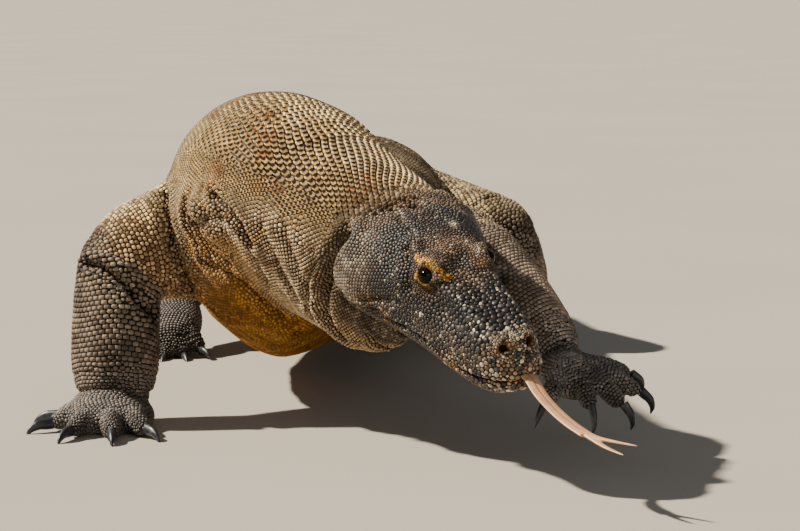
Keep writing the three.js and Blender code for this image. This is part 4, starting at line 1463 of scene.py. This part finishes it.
# Rings of a scale as (radius, height), and the radii between which the colour of its rim gives
# way to that of its top.
SCALE_RINGS = {
    "bead": ([(1.0, -0.45), (0.92, 0.55), (0.73, 0.97), (0, 0.92)], (0.90, 0.75)),
    "plate": ([(1.0, -0.45), (0.80, 0.80), (0, 1.0)], (1.0, 0.72)),
    "slab": ([(1.0, -0.55), (0.90, 0.82), (0, 1.0)], (1.0, 0.84)),
    "tile": ([(1.0, -0.5), (0.93, 0.66), (0.76, 0.98), (0, 1.0)], (1.0, 0.80)),
}

ROW_ASPECT = 0.80        # distance of rows of ringed scales as a share of their width
ANY = (-99, 99)

# Coat pieces: name, starts of the lofts' names, range of stations of the spine, range upwards round the
# spine or forwards along the head, sides and kind of a scale, slot and gloss.
COATS = [
    ("scales_nape", "spine", (0, 3.55), (HIGH, 99), 8, "bead", "skin_sand", "dry"),
    ("scales_neck", "spine", (0, 3.55), (LOW, HIGH), 8, "bead", "skin_sand", "dry"),
    ("scales_throat", "spine", (0, 3.55), (-99, LOW), 7, "plate", "skin_sand", "dry"),
    ("scales_shoulders", "spine", (3.55, 4.8), (LOW, 99), 8, "bead", "skin_sand", "dry"),
    ("scales_chest", "spine", (3.55, 4.8), (-99, LOW), 6, "plate", "skin_sand", "dry"),
    ("scales_flanks", "spine", (4.8, 7), ANY, 6, "plate", "skin_sand", "dry"),
    ("scales_belly", "spine", (7, 9.5), ANY, 6, "plate", "skin_sand", "dry"),
    ("scales_tail_base", "spine", (9.5, 13.5), ANY, 6, "plate", "skin_sand", "dry"),
    ("scales_tail", "spine", (13.5, 99), ANY, 6, "plate", "skin_sand", "dry"),
    ("scales_head", "head", ANY, (-99, 0.42), 7, "tile", "skin_dark", "horn"),
    ("scales_snout", "head", ANY, (0.42, 99), 7, "tile", "skin_dark", "horn"),
    ("scales_upper_arms", "upper_arm", ANY, ANY, 8, "bead", "skin_limb", "dry"),
    ("scales_forearms", "forearm", ANY, ANY, 8, "slab", "skin_limb", "dry"),
    ("scales_legs", "thigh shank", ANY, ANY, 6, "plate", "skin_limb", "dry"),
    ("scales_hands", "palm_hand digit_hand", ANY, ANY, 8, "slab", "skin_limb", "horn"),
    ("scales_feet", "palm_foot digit_foot", ANY, ANY, 6, "plate", "skin_limb", "horn"),
]
LARGEST_COAT = 200000        # triangles


def spine_spacing(station, height):
    """Spacing at a station and a height from -1 under the belly to 1 on the back."""
    table = np.array(SPINE_SPACING)
    top, middle, low = (np.interp(station, table[:, 0], table[:, k]) for k in (1, 2, 3))
    size = middle + (top - middle) * smoothstep(HIGH - 0.1, HIGH + 0.1, height)
    return size + (low - size) * smoothstep(LOW + 0.1, LOW - 0.1, height)


def head_spacing(place):
    """Spacing on the head: small round the eyes and on the crown, large plates on the snout."""
    ahead, _, up = place.T
    size = 3.0 + 0.4 * smoothstep(0.54, 0.70, ahead)
    plates = np.exp(-((ahead - 0.80) / 0.13) ** 2) * smoothstep(-0.05, 0.04, up)
    size = size + 1.7 * plates * (1 - 0.35 * smoothstep(0.08, 0.16, up))
    size = size - 0.6 * np.exp(-((ahead - 0.38) / 0.18) ** 2) * smoothstep(0.08, 0.2, up)
    size = 1.8 + (size - 1.8) * smoothstep(9, 18, head_distance(place, EYE_AT))
    return 2.5 + (size - 2.5) * smoothstep(9, 19, head_distance(place, NOSTRIL_AT))


def limb_row(name):
    """Widths and row distance of a limb's scales."""
    return next(row[1:] for row in LIMB_ROWS if name.startswith(row[0]))


def limb_width(name, share):
    start, end, _ = limb_row(name)
    return start + (end - start) * smoothstep(0.68, 0.90, share)


def spacing_of(atlas, points, located):
    """Scale spacing at located points, in metres."""
    owner, share, angle = located
    size = np.full(len(points), 5.0)
    for index in np.unique(owner):
        loft, mine = atlas.lofts[index], owner == index
        if loft.name == "spine":
            size[mine] = spine_spacing(station_of(share[mine]), np.sin(angle[mine]))
        elif loft.name == "head":
            size[mine] = head_spacing(to_head(points[mine]))
        else:
            size[mine] = 0.93 * limb_width(loft.name, share[mine])
    return size * MM


def relief_of(names, station, height, place):
    """Gap and height of scales, as shares of their spacing, and how much they form rings."""
    relief = np.zeros((3, len(names)))
    for start, *values in RELIEF:
        relief[:, starts(names, start)] = np.array(values)[:, None]
    gap, rise, rings = relief
    spine, head = names == "spine", names == "head"
    neck = smoothstep(5.4, 4.4, station)
    chest = smoothstep(-0.1, -0.6, height) * smoothstep(1.5, 3.5, station)
    snout = smoothstep(0.5, 0.66, place[:, 0])
    gap += spine * (0.12 * neck - 0.17 * chest) - head * 0.01 * snout
    rise += spine * (neck * (0.14 + 0.16 * smoothstep(0.0, 0.35, height)) - 0.26 * chest)
    rise -= head * 0.05 * snout
    return gap, rise, rings


def ring_roots(loft, spacing, along, angles=(0.0, 2 * math.pi), shares=(0.0, 1.0)):
    """Rows of places round a loft, every other row shifted by half a scale.

    spacing(share) is the width of a scale round the loft, and along its length as a share of that.
    """
    fine = np.linspace(*shares, 500)
    around = np.linspace(*angles, 97)
    grid = loft.surface(fine[:, None], around[None, :]).reshape(len(fine), len(around), 3)
    steps = np.linalg.norm(np.diff(grid, axis=0), axis=2).mean(1)
    widths = spacing(fine)
    level = np.concatenate([[0], np.cumsum(steps / (along * widths[1:]))])
    places = [np.zeros((0, 3))]
    for row in range(int(level[-1]) + 1):
        share = np.interp(row, level, fine)
        ring = loft.surface(share, around)
        perimeter = np.concatenate([[0], np.cumsum(np.linalg.norm(np.diff(ring, axis=0), axis=1))])
        count = int(round(perimeter[-1] / np.interp(share, fine, widths)))
        if count >= 4:
            mark = (np.arange(count) + 0.5 * (row % 2)) / count * perimeter[-1]
            places.append(loft.surface(share, np.interp(mark, perimeter, around)))
    return np.concatenate(places)


def ordered_roots(loft):
    """The rows of a loft; the top and front of the head have none, because its scales are irregular."""
    if loft.name == "head":
        return np.concatenate([
            ring_roots(loft, lambda share: np.full(len(share), 3.0 * MM), 0.92, angles, (0.1, 0.36))
            for angles in ((-0.9, 0.55), (math.pi - 0.55, math.pi + 0.9))])
    if loft.name == "spine":
        high, low = math.asin(HIGH), math.asin(LOW)
        bands = ((1.0, (high, math.pi - high)), (0.15, (math.pi - high, math.pi - low)),
                 (0.15, (low, high)), (-1.0, (math.pi - low, 2 * math.pi + low)))
        return np.concatenate([
            ring_roots(loft, lambda share, height=height:
                       spine_spacing(station_of(share), np.full(len(share), height)) * MM, 0.88, angles)
            for height, angles in bands])
    shares = (0.2, 0.99) if loft.name.startswith("digit") else (0.0, 1.0)
    return ring_roots(loft, lambda share: limb_width(loft.name, share) * MM, limb_row(loft.name)[2],
                      shares=shares)


class RootField:
    """Accepts scale roots one by one and refuses those too close to an accepted one."""

    AROUND = [(i - 1, j - 1, k - 1) for i, j, k in np.ndindex(3, 3, 3)]

    def __init__(self, cell):
        self.cell = cell
        self.cells = {}

    def crowded(self, x, y, z, key, size, closeness):
        for i, j, k in self.AROUND:
            for px, py, pz, psize in self.cells.get((key[0] + i, key[1] + j, key[2] + k), ()):
                limit = closeness * 0.5 * (size + psize)
                if (px - x) ** 2 + (py - y) ** 2 + (pz - z) ** 2 < limit * limit:
                    return True
        return False

    def accept(self, points, sizes, closeness):
        """Indices of the accepted points."""
        kept = []
        for index, ((x, y, z), size) in enumerate(zip(points.tolist(), sizes.tolist())):
            key = (int(x // self.cell), int(y // self.cell), int(z // self.cell))
            if not self.crowded(x, y, z, key, size, closeness):
                self.cells.setdefault(key, []).append((x, y, z, size))
                kept.append(index)
        return np.array(kept, int)


def bare_places(points):
    """True where no scale grows: in the eyes' openings, in the nostrils and between the lips."""
    place = to_head(points)
    away, _ = from_mouth(place)
    bare = (away < 1.0) & (place[:, 0] > 0.36) & (place[:, 0] < 1.1) & (np.abs(place[:, 1]) < 0.3)
    for side in (-1, 1):
        _, distance, turn, _ = from_eye(points, side)
        bare |= (distance < 2 * EYE_RADIUS * MM) & (turn < LID_ANGLE + 2)
    for middle, inwards in nostril_axes():
        across, near = from_nostril(points, middle, inwards)
        bare |= (across < 3.4) & near
    return bare


def waves(places, reach, seed):
    """Smooth random shifts of the places, up to half a unit each way."""
    return np.stack([value_noise(places, reach, seed + k) - 0.5 for k in range(3)], axis=1)


def plant_rows(atlas, tree):
    """Places of the rows of all lofts on the skin, gently waved."""
    rows = []
    for index, loft in enumerate(atlas.lofts):
        wanted = ordered_roots(loft)
        if len(wanted) == 0:
            continue
        wave = waves(wanted, 0.038 if loft.name == "spine" else 0.065, 71)
        calm = loft.name.startswith(("head", "palm", "digit"))
        wanted = wanted + wave * ((1.0 if calm else 2.4) * ROW_WAVE)
        if loft.name.startswith(("forearm", "shank")):
            wanted = wanted + wave * 1.6 * ROW_WAVE + waves(wanted, 0.014, 74) * 0.5 * ROW_WAVE
        placed, _, _ = nearest_on(tree, wanted)
        owner, _, _ = atlas.locate(placed)
        near = (np.linalg.norm(placed - wanted, axis=1) < 8 * MM) & (owner == index)
        rows.append(placed[near])
    return np.concatenate(rows)


def plant_roots(atlas, tree, mesh, generator):
    """Places for all scales on the skin: rows first, then single scales wherever room is left."""
    field = RootField(LARGEST_SCALE * MM)
    rows = plant_rows(atlas, tree)
    sizes = spacing_of(atlas, rows, atlas.locate(rows))
    keep = field.accept(rows, sizes, ROW_CLOSENESS)
    roots, root_sizes = rows[keep], sizes[keep]

    jittered = np.repeat(read_array(mesh.polygons, "center", 3), 3, axis=0)
    jittered = jittered + generator.normal(0, 0.9 * MM, jittered.shape)
    jittered, _, _ = nearest_on(tree, jittered)
    known = tree_of(roots)
    found = [known.find(point) for point in jittered.tolist()]
    distance = np.array([f[2] for f in found])
    close = root_sizes[[f[1] for f in found]]
    candidates = jittered[distance > 0.50 * np.minimum(close, 4 * MM)]
    candidates = candidates[generator.permutation(len(candidates))]
    base = spacing_of(atlas, candidates, atlas.locate(candidates))
    snout = smoothstep(0.5, 0.62, to_head(candidates)[:, 0]) * near_head(candidates)
    for factor, spread, closeness in FILL_PASSES:
        size = base * (1 + (factor - 1) * (0.3 + 0.7 * snout if spread else 1.0))
        keep = field.accept(candidates, size, closeness)
        roots = np.concatenate([roots, candidates[keep]])
        root_sizes = np.concatenate([root_sizes, size[keep]])
    return roots, root_sizes


def neighbours_of(roots, count):
    tree = tree_of(roots)
    return np.array([[f[1] for f in tree.find_n(root, count + 1)[1:]] for root in roots.tolist()])


def relax_roots(roots, sizes, tree, passes):
    """Pushes crowded roots apart along the skin."""
    for _ in range(passes):
        near = neighbours_of(roots, 7)
        away = roots[:, None, :] - roots[near]
        distance = np.linalg.norm(away, axis=2)
        wanted = 0.98 * 0.5 * (sizes[:, None] + sizes[near])
        push = np.clip(1 - distance / wanted, 0, 1) * wanted
        shift = (away / np.maximum(distance, 1e-9)[..., None] * push[..., None]).sum(1) * 0.28
        limit = 0.3 * sizes
        size = np.linalg.norm(shift, axis=1)
        shift *= np.minimum(1, limit / np.maximum(size, 1e-12))[:, None]
        roots, _, _ = nearest_on(tree, roots + shift)
    return roots


def scale_template(sides, rings):
    """A unit scale: rings of (radius, height) about a middle, whose height is the last ring's.

    Returns the places of its vertices and its faces.
    """
    bm = bmesh.new()
    *rings, (_, peak) = rings
    bmesh.ops.create_circle(bm, segments=sides, radius=rings[0][0], cap_ends=True)
    for vertex in bm.verts:
        vertex.co.z = rings[0][1]

    def top_face():
        return max(bm.faces, key=lambda face: (len(face.verts) == sides, face.calc_center_median().z))

    for (before, _), (radius, height) in zip(rings, rings[1:]):
        top = top_face()
        made = bmesh.ops.extrude_face_region(bm, geom=[top])["geom"]
        if top.is_valid:
            bm.faces.remove(top)
        for vertex in (item for item in made if isinstance(item, bmesh.types.BMVert)):
            vertex.co.x *= radius / before
            vertex.co.y *= radius / before
            vertex.co.z = height
    bmesh.ops.poke(bm, faces=[top_face()])
    middle = max(bm.verts, key=lambda v: v.co.z - 10 * math.hypot(v.co.x, v.co.y))
    middle.co = (0, 0, peak)
    bm.verts.index_update()
    places = np.array([v.co for v in bm.verts])
    faces = [[v.index for v in face.verts] for face in bm.faces]
    bm.free()
    return places, faces


def cell_reach(x, y, portion, directions, brick):
    """How far a scale reaches in each direction: half way to its neighbours, or within a brick."""
    distance = np.maximum(np.hypot(x, y), 1e-6)
    next_row = np.abs(x) > 0.9 * np.abs(y)
    reach = np.empty((len(x), len(directions)))
    for k, direction in enumerate(directions):
        c, s = math.cos(direction), math.sin(direction)
        toward = (x * c + y * s) / distance
        cell = np.where(toward > 0.12, portion * distance / np.maximum(toward, 0.12), np.inf).min(1)
        facing = np.where(next_row, x * c, y * s)
        span = np.where(next_row, np.abs(x) / max(abs(c), 1e-3), np.abs(y) / max(abs(s), 1e-3))
        bricks = np.where(facing > 1e-6, portion * span, np.inf).min(1)
        reach[:, k] = np.where(brick > 0.5, 0.68 * np.minimum(bricks, 1.5 * cell) + 0.32 * cell, cell)
    return reach


def mesh_of_scales(name, points, faces, count, size):
    """A mesh of many alike shapes, and the vertex of each of its corners."""
    quads = [face for face in faces if len(face) == 4]
    triangles = [face for face in faces if len(face) == 3]
    shift = (np.arange(count) * size)[:, None, None]
    corners = np.concatenate([(np.array(kind)[None] + shift).reshape(count, -1)
                              for kind in (quads, triangles)], axis=1).ravel()
    totals = np.tile([4] * len(quads) + [3] * len(triangles), count)
    starts_at = np.concatenate([[0], np.cumsum(totals)[:-1]])
    mesh = bpy.data.meshes.new(name)
    mesh.vertices.add(count * size)
    mesh.vertices.foreach_set("co", points.astype(np.float32).ravel())
    mesh.loops.add(corners.size)
    mesh.loops.foreach_set("vertex_index", corners.astype(np.int32))
    mesh.polygons.add(len(totals))
    mesh.polygons.foreach_set("loop_start", starts_at.astype(np.int32))
    mesh.update(calc_edges=True)
    mesh.shade_smooth()
    return mesh, corners


def build_scales(name, settings, chosen, neighbourhood, sides, kind):
    """One mesh of many scales, each fitted to its cell.

    chosen: roots, spacings, normals, directions along the body, rim and top colours, places on the
    map, gaps, heights and ring shares.  neighbourhood: all roots, all spacings, neighbour indices.
    """
    roots, sizes, normals, along, rims, tops, spots, gaps, rises, ringed = chosen
    rings, (outer, inner) = SCALE_RINGS[kind]
    template, faces = scale_template(sides, rings)
    radius = np.hypot(template[:, 0], template[:, 1])
    bearing = np.arctan2(template[:, 1], template[:, 0])
    directions = np.arange(sides) * 2 * math.pi / sides
    side = np.rint(bearing / (2 * math.pi / sides)).astype(int) % sides
    around = np.cross(normals, along)

    all_roots, all_sizes, near = neighbourhood
    offsets = all_roots[near] - roots[:, None, :]
    squash = 1 - (1 - ROW_ASPECT) * (ringed[:, None] > 0.5)
    x = (offsets * along[:, None, :]).sum(2) / squash
    y = (offsets * around[:, None, :]).sum(2)
    portion = sizes[:, None] / (sizes[:, None] + all_sizes[near])
    reach = cell_reach(x, y, portion, directions, ringed)
    middle = np.median(reach, axis=1, keepdims=True)
    corner = 1.12 + 0.42 * ringed[:, None]
    reach = np.minimum(np.minimum(reach, corner * middle), 0.85 * sizes[:, None])
    tight = settings.gap * gaps[:, None] * (1 + ringed[:, None] * 0.4 * np.cos(2 * directions)[None, :])
    reach = np.maximum(reach - 0.5 * tight * sizes[:, None], 0.12 * sizes[:, None])

    reached = reach[:, side] * radius[None, :]
    east, north = reached * np.cos(bearing) * squash, reached * np.sin(bearing)
    rise = np.minimum(sizes, 2.2 * middle[:, 0]) * rises * settings.height
    tilt = 1 + (0.30 * ringed[:, None] - 0.10) * (np.cos(bearing) * radius)[None, :]
    up = template[None, :, 2] * rise[:, None] * np.where(template[None, :, 2] > 0, tilt, 1)
    points = (roots[:, None, :] + along[:, None, :] * east[..., None]
              + around[:, None, :] * north[..., None] + normals[:, None, :] * up[..., None])
    points = points.reshape(-1, 3)
    points[:, 2] = np.maximum(points[:, 2], OFFSET[2] + 0.2 * MM)

    mesh, corners = mesh_of_scales(name, points, faces, len(roots), len(template))
    core = smoothstep(outer, inner, radius)[None, :, None]
    # painted shade: the sunken foot of each scale darker, where it meets the skin
    foot = np.where(template[:, 2] < 0, 0.4, 1.0)[None, :, None]
    tints = (rims[:, None, :] * (1 - core) + tops[:, None, :] * core) * foot
    store_colour(mesh, "tint", tints.reshape(-1, 3))
    patches = (spots[:, None, :] + template[None, :, :2] * settings.patch / 2).reshape(-1, 2)
    layer = mesh.uv_layers.new(name="OFBake")
    layer.data.foreach_set("uv", patches[corners].astype(np.float32).ravel())
    return add_object(name, mesh)


def scale_material(name, roughness):
    """Horn scales: the markings with fine grain and wear."""
    finish = Finish(name)
    cloud = finish.noise(420, 4)
    worn = finish.ramp(cloud, [(0.3, 0.74), (0.7, 1.22)])
    return finish.shade({
        "Base Color": finish.product(finish.attribute("tint", "Color"), worn),
        "Normal": finish.bump(finish.noise(1500, 3), 0.35, 0.0003),
        "Roughness": finish.ramp(cloud, [(0.3, roughness - 0.08), (0.7, roughness + 0.1)]),
        "Specular IOR Level": 0.06 if roughness > 0.5 else 0.35,
    })


def bake_spots(located, members):
    """Places on the coat's map: one column for each loft, unrolled along its length."""
    owner, share, angle = (column[members] for column in located)
    spots = np.zeros((len(members), 2))
    margin = 0.02
    lofts = np.unique(owner)
    for column, index in enumerate(lofts):
        mine = owner == index
        low, high = share[mine].min(), share[mine].max()
        across = (angle[mine] % (2 * math.pi)) / (2 * math.pi)
        up = (share[mine] - low) / max(high - low, 1e-6)
        spots[mine, 0] = (column + margin + across * (1 - 2 * margin)) / len(lofts)
        spots[mine, 1] = margin + up * (1 - 2 * margin)
    return spots


def skin_under(skin, tree, roots):
    """Normals of the skin at the roots, and how deep they lie in a fold."""
    _, _, faces = nearest_on(tree, roots)
    normals = normal_array(skin.data)
    hollow = read_array(skin.data.attributes["hollow"].data, "value", 1)[:, 0]
    corners = [list(skin.data.polygons[int(face)].vertices) for face in faces]
    return (unit(np.array([normals[face].mean(0) for face in corners])),
            np.array([hollow[face].mean() for face in corners]))


class DRAGON_OT_scales(bpy.types.Operator):
    """Lay solid scales over the skin, in rows on the body and limbs and irregular on the head"""
    bl_idname = "dragon.scales"
    bl_label = "Scales"

    def execute(self, context):
        settings = context.scene.dragon_scales
        skin = bpy.data.objects.get("skin")
        if skin is None:
            raise RuntimeError("the scales need the skin")
        generator = np.random.default_rng(SEED)
        lofts = body_lofts()
        atlas = Atlas(lofts)
        tree = BVHTree.FromObject(skin, context.evaluated_depsgraph_get())
        roots, sizes = plant_roots(atlas, tree, skin.data, generator)
        roots = relax_roots(roots, sizes, tree, settings.relaxing)
        keep = ~bare_places(roots)
        roots, sizes = roots[keep], sizes[keep]

        normals, hollow = skin_under(skin, tree, roots)
        located = atlas.locate(roots)
        axis = atlas.directions(located[0], located[1])
        along = unit(axis - normals * (axis * normals).sum(1, keepdims=True))
        luck = generator.random(len(roots))
        small = sizes < 0.75 * spacing_of(atlas, roots, located)
        luck = np.where(small, 0.35 * luck, 0.08 + 0.92 * luck)
        rims, tops, _ = markings(context.scene.dragon_colours, atlas, roots, located, luck, hollow)
        vary = generator.normal(0, 1, len(roots))[:, None]
        tops = tops * np.exp(0.24 * vary)
        rims = rims * np.exp(0.12 * vary + 0.10 * generator.normal(0, 1, len(roots))[:, None])

        near = neighbours_of(roots, NEIGHBOURS)
        names = np.array([lofts[index].name for index in located[0]])
        gaps, rises, ringed = relief_of(names, *beside_trunk(roots, lofts[0]), to_head(roots))
        station = station_of(located[1])
        upwards = np.where(names == "head", to_head(roots)[:, 0], np.sin(located[2]))
        materials = {gloss: scale_material("scales_" + gloss, value) for gloss, value in ROUGHNESS.items()}
        for name, beginnings, stations, reach, sides, kind, slot, gloss in COATS:
            belongs = starts(names, *beginnings.split())
            belongs &= (station >= stations[0]) & (station < stations[1])
            belongs &= (upwards > reach[0]) & (upwards <= reach[1])
            members = np.nonzero(belongs)[0]
            if len(members) == 0:
                raise RuntimeError(f"no scales for {name}")
            chosen = (roots[members], sizes[members], normals[members], along[members], rims[members],
                      tops[members], bake_spots(located, members), gaps[members], rises[members],
                      ringed[members])
            piece = build_scales(name, settings, chosen, (roots, sizes, near[members]), sides, kind)
            piece.data.materials.append(materials[gloss])
            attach(piece, "root")
            triangles = len(piece.data.loops) - 2 * len(piece.data.polygons)
            if triangles >= LARGEST_COAT:
                raise RuntimeError(f"{name} has {triangles} triangles")
        return {"FINISHED"}


# ---- Eyes, tongue and claws ----

CORNEA_HEIGHT, CORNEA_WIDTH = 0.5, 24       # millimetres, degrees
WHOLE_TURN = 60                             # degrees from the gaze where the iris's map ends
TONGUE_VOXEL = 0.45                         # millimetres
GROOVE_WIDTH, GROOVE_DEPTH = 0.8, 0.5


def eye_material():
    """A dark brown iris round a black pupil, wet and smooth."""
    finish = Finish("dragon_eye")
    bands = finish.ramp(finish.attribute("turn", "Fac"), [
        (0.0, colour("030303")), (0.34, colour("030303")), (0.40, colour("140a05")),
        (0.66, colour("0e0703")), (0.8, colour("040202"))])
    streaks = finish.ramp(finish.noise(900, 4), [(0.3, 0.6), (0.7, 1.3)])
    return finish.shade({"Base Color": finish.product(bands, streaks), "Roughness": 0.10,
                         "Specular IOR Level": 0.12})


class DRAGON_OT_eyes(bpy.types.Operator):
    """Make the eyeballs with a bulging cornea"""
    bl_idname = "dragon.eyes"
    bl_label = "Eyes"

    def execute(self, context):
        material = eye_material()
        for side, node in ((-1, "eye_right"), (1, "eye_left")):
            bm = bmesh.new()
            bmesh.ops.create_uvsphere(bm, u_segments=48, v_segments=32, radius=EYE_RADIUS * MM)
            gaze = Vector(eye_gaze(side))
            bmesh.ops.rotate(bm, verts=bm.verts, matrix=gaze.to_track_quat("Z", "Y").to_matrix())
            turns = []
            for vertex in bm.verts:
                turn = math.degrees(vertex.co.angle(gaze))
                turns.append(turn / WHOLE_TURN)
                vertex.co += gaze * (CORNEA_HEIGHT * MM * math.exp(-(turn / CORNEA_WIDTH) ** 2))
            bmesh.ops.translate(bm, verts=bm.verts, vec=Vector(eye_centre(side)))
            piece = object_from_bmesh(node + "_ball", bm)
            store_float(piece.data, "turn", turns)
            piece.data.materials.append(material)
            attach(piece, "root")
            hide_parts(node)
        return {"FINISHED"}


def tongue_material():
    """Moist flesh with painted shade darkening the groove down the middle."""
    finish = Finish("dragon_tongue")
    # painted shade: darker the deeper the groove
    base = finish.ramp(finish.attribute("groove", "Fac"), [
        (0.0, bpy.context.scene.dragon_colours.tongue), (0.7, colour("c08a70")), (1.0, colour("8d5c49"))])
    mottled = finish.ramp(finish.noise(160, 3), [(0.3, 0.85), (0.7, 1.1)])
    return finish.shade({
        "Base Color": finish.product(base, mottled),
        "Normal": finish.bump(finish.noise(1300, 2), 0.25, 0.0002),
        "Roughness": 0.38, "Subsurface Weight": 0.15, "Subsurface Radius": (0.004, 0.0015, 0.001),
    })


class DRAGON_OT_tongue(bpy.types.Operator):
    """Make the forked tongue"""
    bl_idname = "dragon.tongue"
    bl_label = "Tongue"

    def execute(self, context):
        bm = bmesh.new()
        wrap_tube(bm, Loft("stem", TONGUE_STEM, [TONGUE_SIZE] * len(TONGUE_STEM)), 60, 28)
        for route in TONGUE_TIPS:
            sizes = [np.array(TONGUE_TIP_SIZE) * share for share in TONGUE_TIP_SHARES]
            wrap_tube(bm, Loft("tip", route, sizes, rounding=(0, 0.1)), 40, 16)
        rough = object_from_bmesh("tongue_lofts", bm)
        mesh = voxel_skin(rough, TONGUE_VOXEL * MM)
        bpy.data.objects.remove(rough)
        points = vertex_array(mesh)
        edges = edge_array(mesh)
        for _ in range(6):
            points += (neighbour_mean(points, edges) - points) * 0.5
        set_vertices(mesh, points)
        normals = normal_array(mesh)
        line = np.array(TONGUE_STEM) * MM + OFFSET
        near = (distance_to_route(points, line) < 6 * MM) & (normals[:, 2] > 0.2)
        groove = np.exp(-(distance_to_route(points[:, :2], line[:, :2]) / (GROOVE_WIDTH * MM)) ** 2) * near
        points -= normals * (groove * GROOVE_DEPTH * MM)[:, None]
        set_vertices(mesh, points)
        mesh.name = "tongue_flesh"
        mesh.shade_smooth()
        piece = add_object("tongue_flesh", mesh)
        store_float(mesh, "groove", groove)
        mesh.materials.clear()
        mesh.materials.append(tongue_material())
        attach(piece, "root")
        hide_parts("tongue")
        return {"FINISHED"}


def claw_material():
    """Blue-black horn, worn paler, with a fine grain in its relief."""
    finish = Finish("dragon_claw")
    cloud = finish.noise(260, 5)
    horn = np.array(bpy.context.scene.dragon_colours.claw)
    return finish.shade({
        "Base Color": finish.ramp(cloud, [(0.35, horn), (0.6, horn * 2.0), (0.8, colour("5d5a55"))]),
        "Normal": finish.bump(finish.noise(1400, 3), 0.3, 0.0003),
        "Roughness": finish.ramp(cloud, [(0.3, 0.28), (0.8, 0.5)]),
    })


class DRAGON_OT_claws(bpy.types.Operator):
    """Make the curved claws of each hand and foot"""
    bl_idname = "dragon.claws"
    bl_label = "Claws"

    def execute(self, context):
        material = claw_material()
        for name, paw in PAWS.items():
            bm = bmesh.new()
            for number in range(5):
                wrap_tube(bm, claw_loft(name, paw, number), 28, 20)
            for vertex in bm.verts:
                vertex.co.z = max(vertex.co.z, OFFSET[2])
            piece = object_from_bmesh("horn_" + name, bm)
            piece.data.materials.append(material)
            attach(piece, "root")
            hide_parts(*[f"claw_{name}_{number + 1}" for number in range(5)])
        return {"FINISHED"}


# ---- Stage ----

CAMERA_AT = (0, -2000, 366.7)         # millimetres of the walking frame
CAMERA_PITCH = 6.643                  # degrees down
CAMERA_LENS = 110.7                   # millimetres on a 36 mm sensor
SUN_DIRECTION = (1.5, -0.22, -1.45)
SUN_STRENGTH = 10.5
SUN_WIDTH = 2                         # degrees
SUN_COLOUR = (1.0, 0.90, 0.74)
FILL_AIM = (-0.06, -0.05, 0.15)       # metres of the walking frame
FILL_AT = (0.4, -2.6, 0.9)            # metres from there
FILL_SIZE = 1.8
FILL_POWER = 14
FILL_COLOUR = (1.0, 0.96, 0.90)
SKY_COLOUR = (0.90, 0.94, 1.0, 1)
SKY_STRENGTH = 0.20


def floor_material():
    """Pale matt paper with faint clouds."""
    finish = Finish("floor_paper")
    pale = finish.ramp(finish.noise(1.5, 2), [(0.3, colour("a39d93")), (0.7, colour("a8a298"))])
    return finish.shade({"Base Color": pale, "Roughness": 0.9})


def add_lamp(name, kind, direction, energy, tint):
    data = bpy.data.lights.new(name, kind)
    data.energy = energy
    data.color = tint
    lamp = add_object(name, data)
    lamp.rotation_euler = Vector(direction).to_track_quat("-Z", "Y").to_euler()
    return lamp


class DRAGON_OT_stage(bpy.types.Operator):
    """Set the floor, the lights and the camera"""
    bl_idname = "dragon.stage"
    bl_label = "Stage"

    def execute(self, context):
        scene = context.scene
        bm = bmesh.new()
        bmesh.ops.create_grid(bm, x_segments=1, y_segments=1, size=200)
        floor = object_from_bmesh("floor", bm)
        floor.data.materials.append(floor_material())

        world = bpy.data.worlds.new("studio")
        world.use_nodes = True
        world.node_tree.nodes["Background"].inputs["Color"].default_value = SKY_COLOUR
        world.node_tree.nodes["Background"].inputs["Strength"].default_value = SKY_STRENGTH
        scene.world = world
        key = add_lamp("key", "SUN", SUN_DIRECTION, SUN_STRENGTH, SUN_COLOUR)
        key.data.angle = math.radians(SUN_WIDTH)
        fill = add_lamp("fill", "AREA", -Vector(FILL_AT), FILL_POWER, FILL_COLOUR)
        fill.location = OFFSET + FILL_AIM + FILL_AT
        fill.data.shape = "DISK"
        fill.data.size = FILL_SIZE

        camera = add_object("camera", bpy.data.cameras.new("camera"))
        camera.data.lens = CAMERA_LENS
        camera.data.sensor_width = 36
        camera.data.clip_start = 0.05
        camera.location = Vector(np.array(CAMERA_AT) * MM + OFFSET)
        camera.rotation_euler = (math.radians(90 - CAMERA_PITCH), 0, 0)
        scene.camera = camera
        return {"FINISHED"}


# ---- Add-on ----


class DRAGON_PT_panel(bpy.types.Panel):
    """Lists the steps of the dragon"""
    bl_idname = "DRAGON_PT_panel"
    bl_label = "Komodo dragon"
    bl_space_type = "VIEW_3D"
    bl_region_type = "UI"
    bl_category = "Dragon"

    def draw(self, context):
        column = self.layout.column()
        for step in STEPS:
            column.operator(step.bl_idname)
        for settings in (context.scene.dragon_skin, context.scene.dragon_scales,
                         context.scene.dragon_colours):
            for name in settings.__annotations__:
                column.prop(settings, name)


STEPS = (DRAGON_OT_stage, DRAGON_OT_skin, DRAGON_OT_scales, DRAGON_OT_eyes, DRAGON_OT_tongue,
         DRAGON_OT_claws)

CLASSES = (DragonSkinSettings, DragonScaleSettings, DragonColours, *STEPS, DRAGON_PT_panel)


def register():
    for cls in CLASSES:
        bpy.utils.register_class(cls)
    bpy.types.Scene.dragon_skin = PointerProperty(type=DragonSkinSettings)
    bpy.types.Scene.dragon_scales = PointerProperty(type=DragonScaleSettings)
    bpy.types.Scene.dragon_colours = PointerProperty(type=DragonColours)


def unregister():
    del bpy.types.Scene.dragon_skin
    del bpy.types.Scene.dragon_scales
    del bpy.types.Scene.dragon_colours
    for cls in reversed(CLASSES):
        bpy.utils.unregister_class(cls)


def main():
    register()
    bpy.ops.dragon.stage()
    bpy.ops.dragon.skin()
    bpy.ops.dragon.scales()
    bpy.ops.dragon.eyes()
    bpy.ops.dragon.tongue()
    bpy.ops.dragon.claws()


if __name__ == "__main__":
    main()
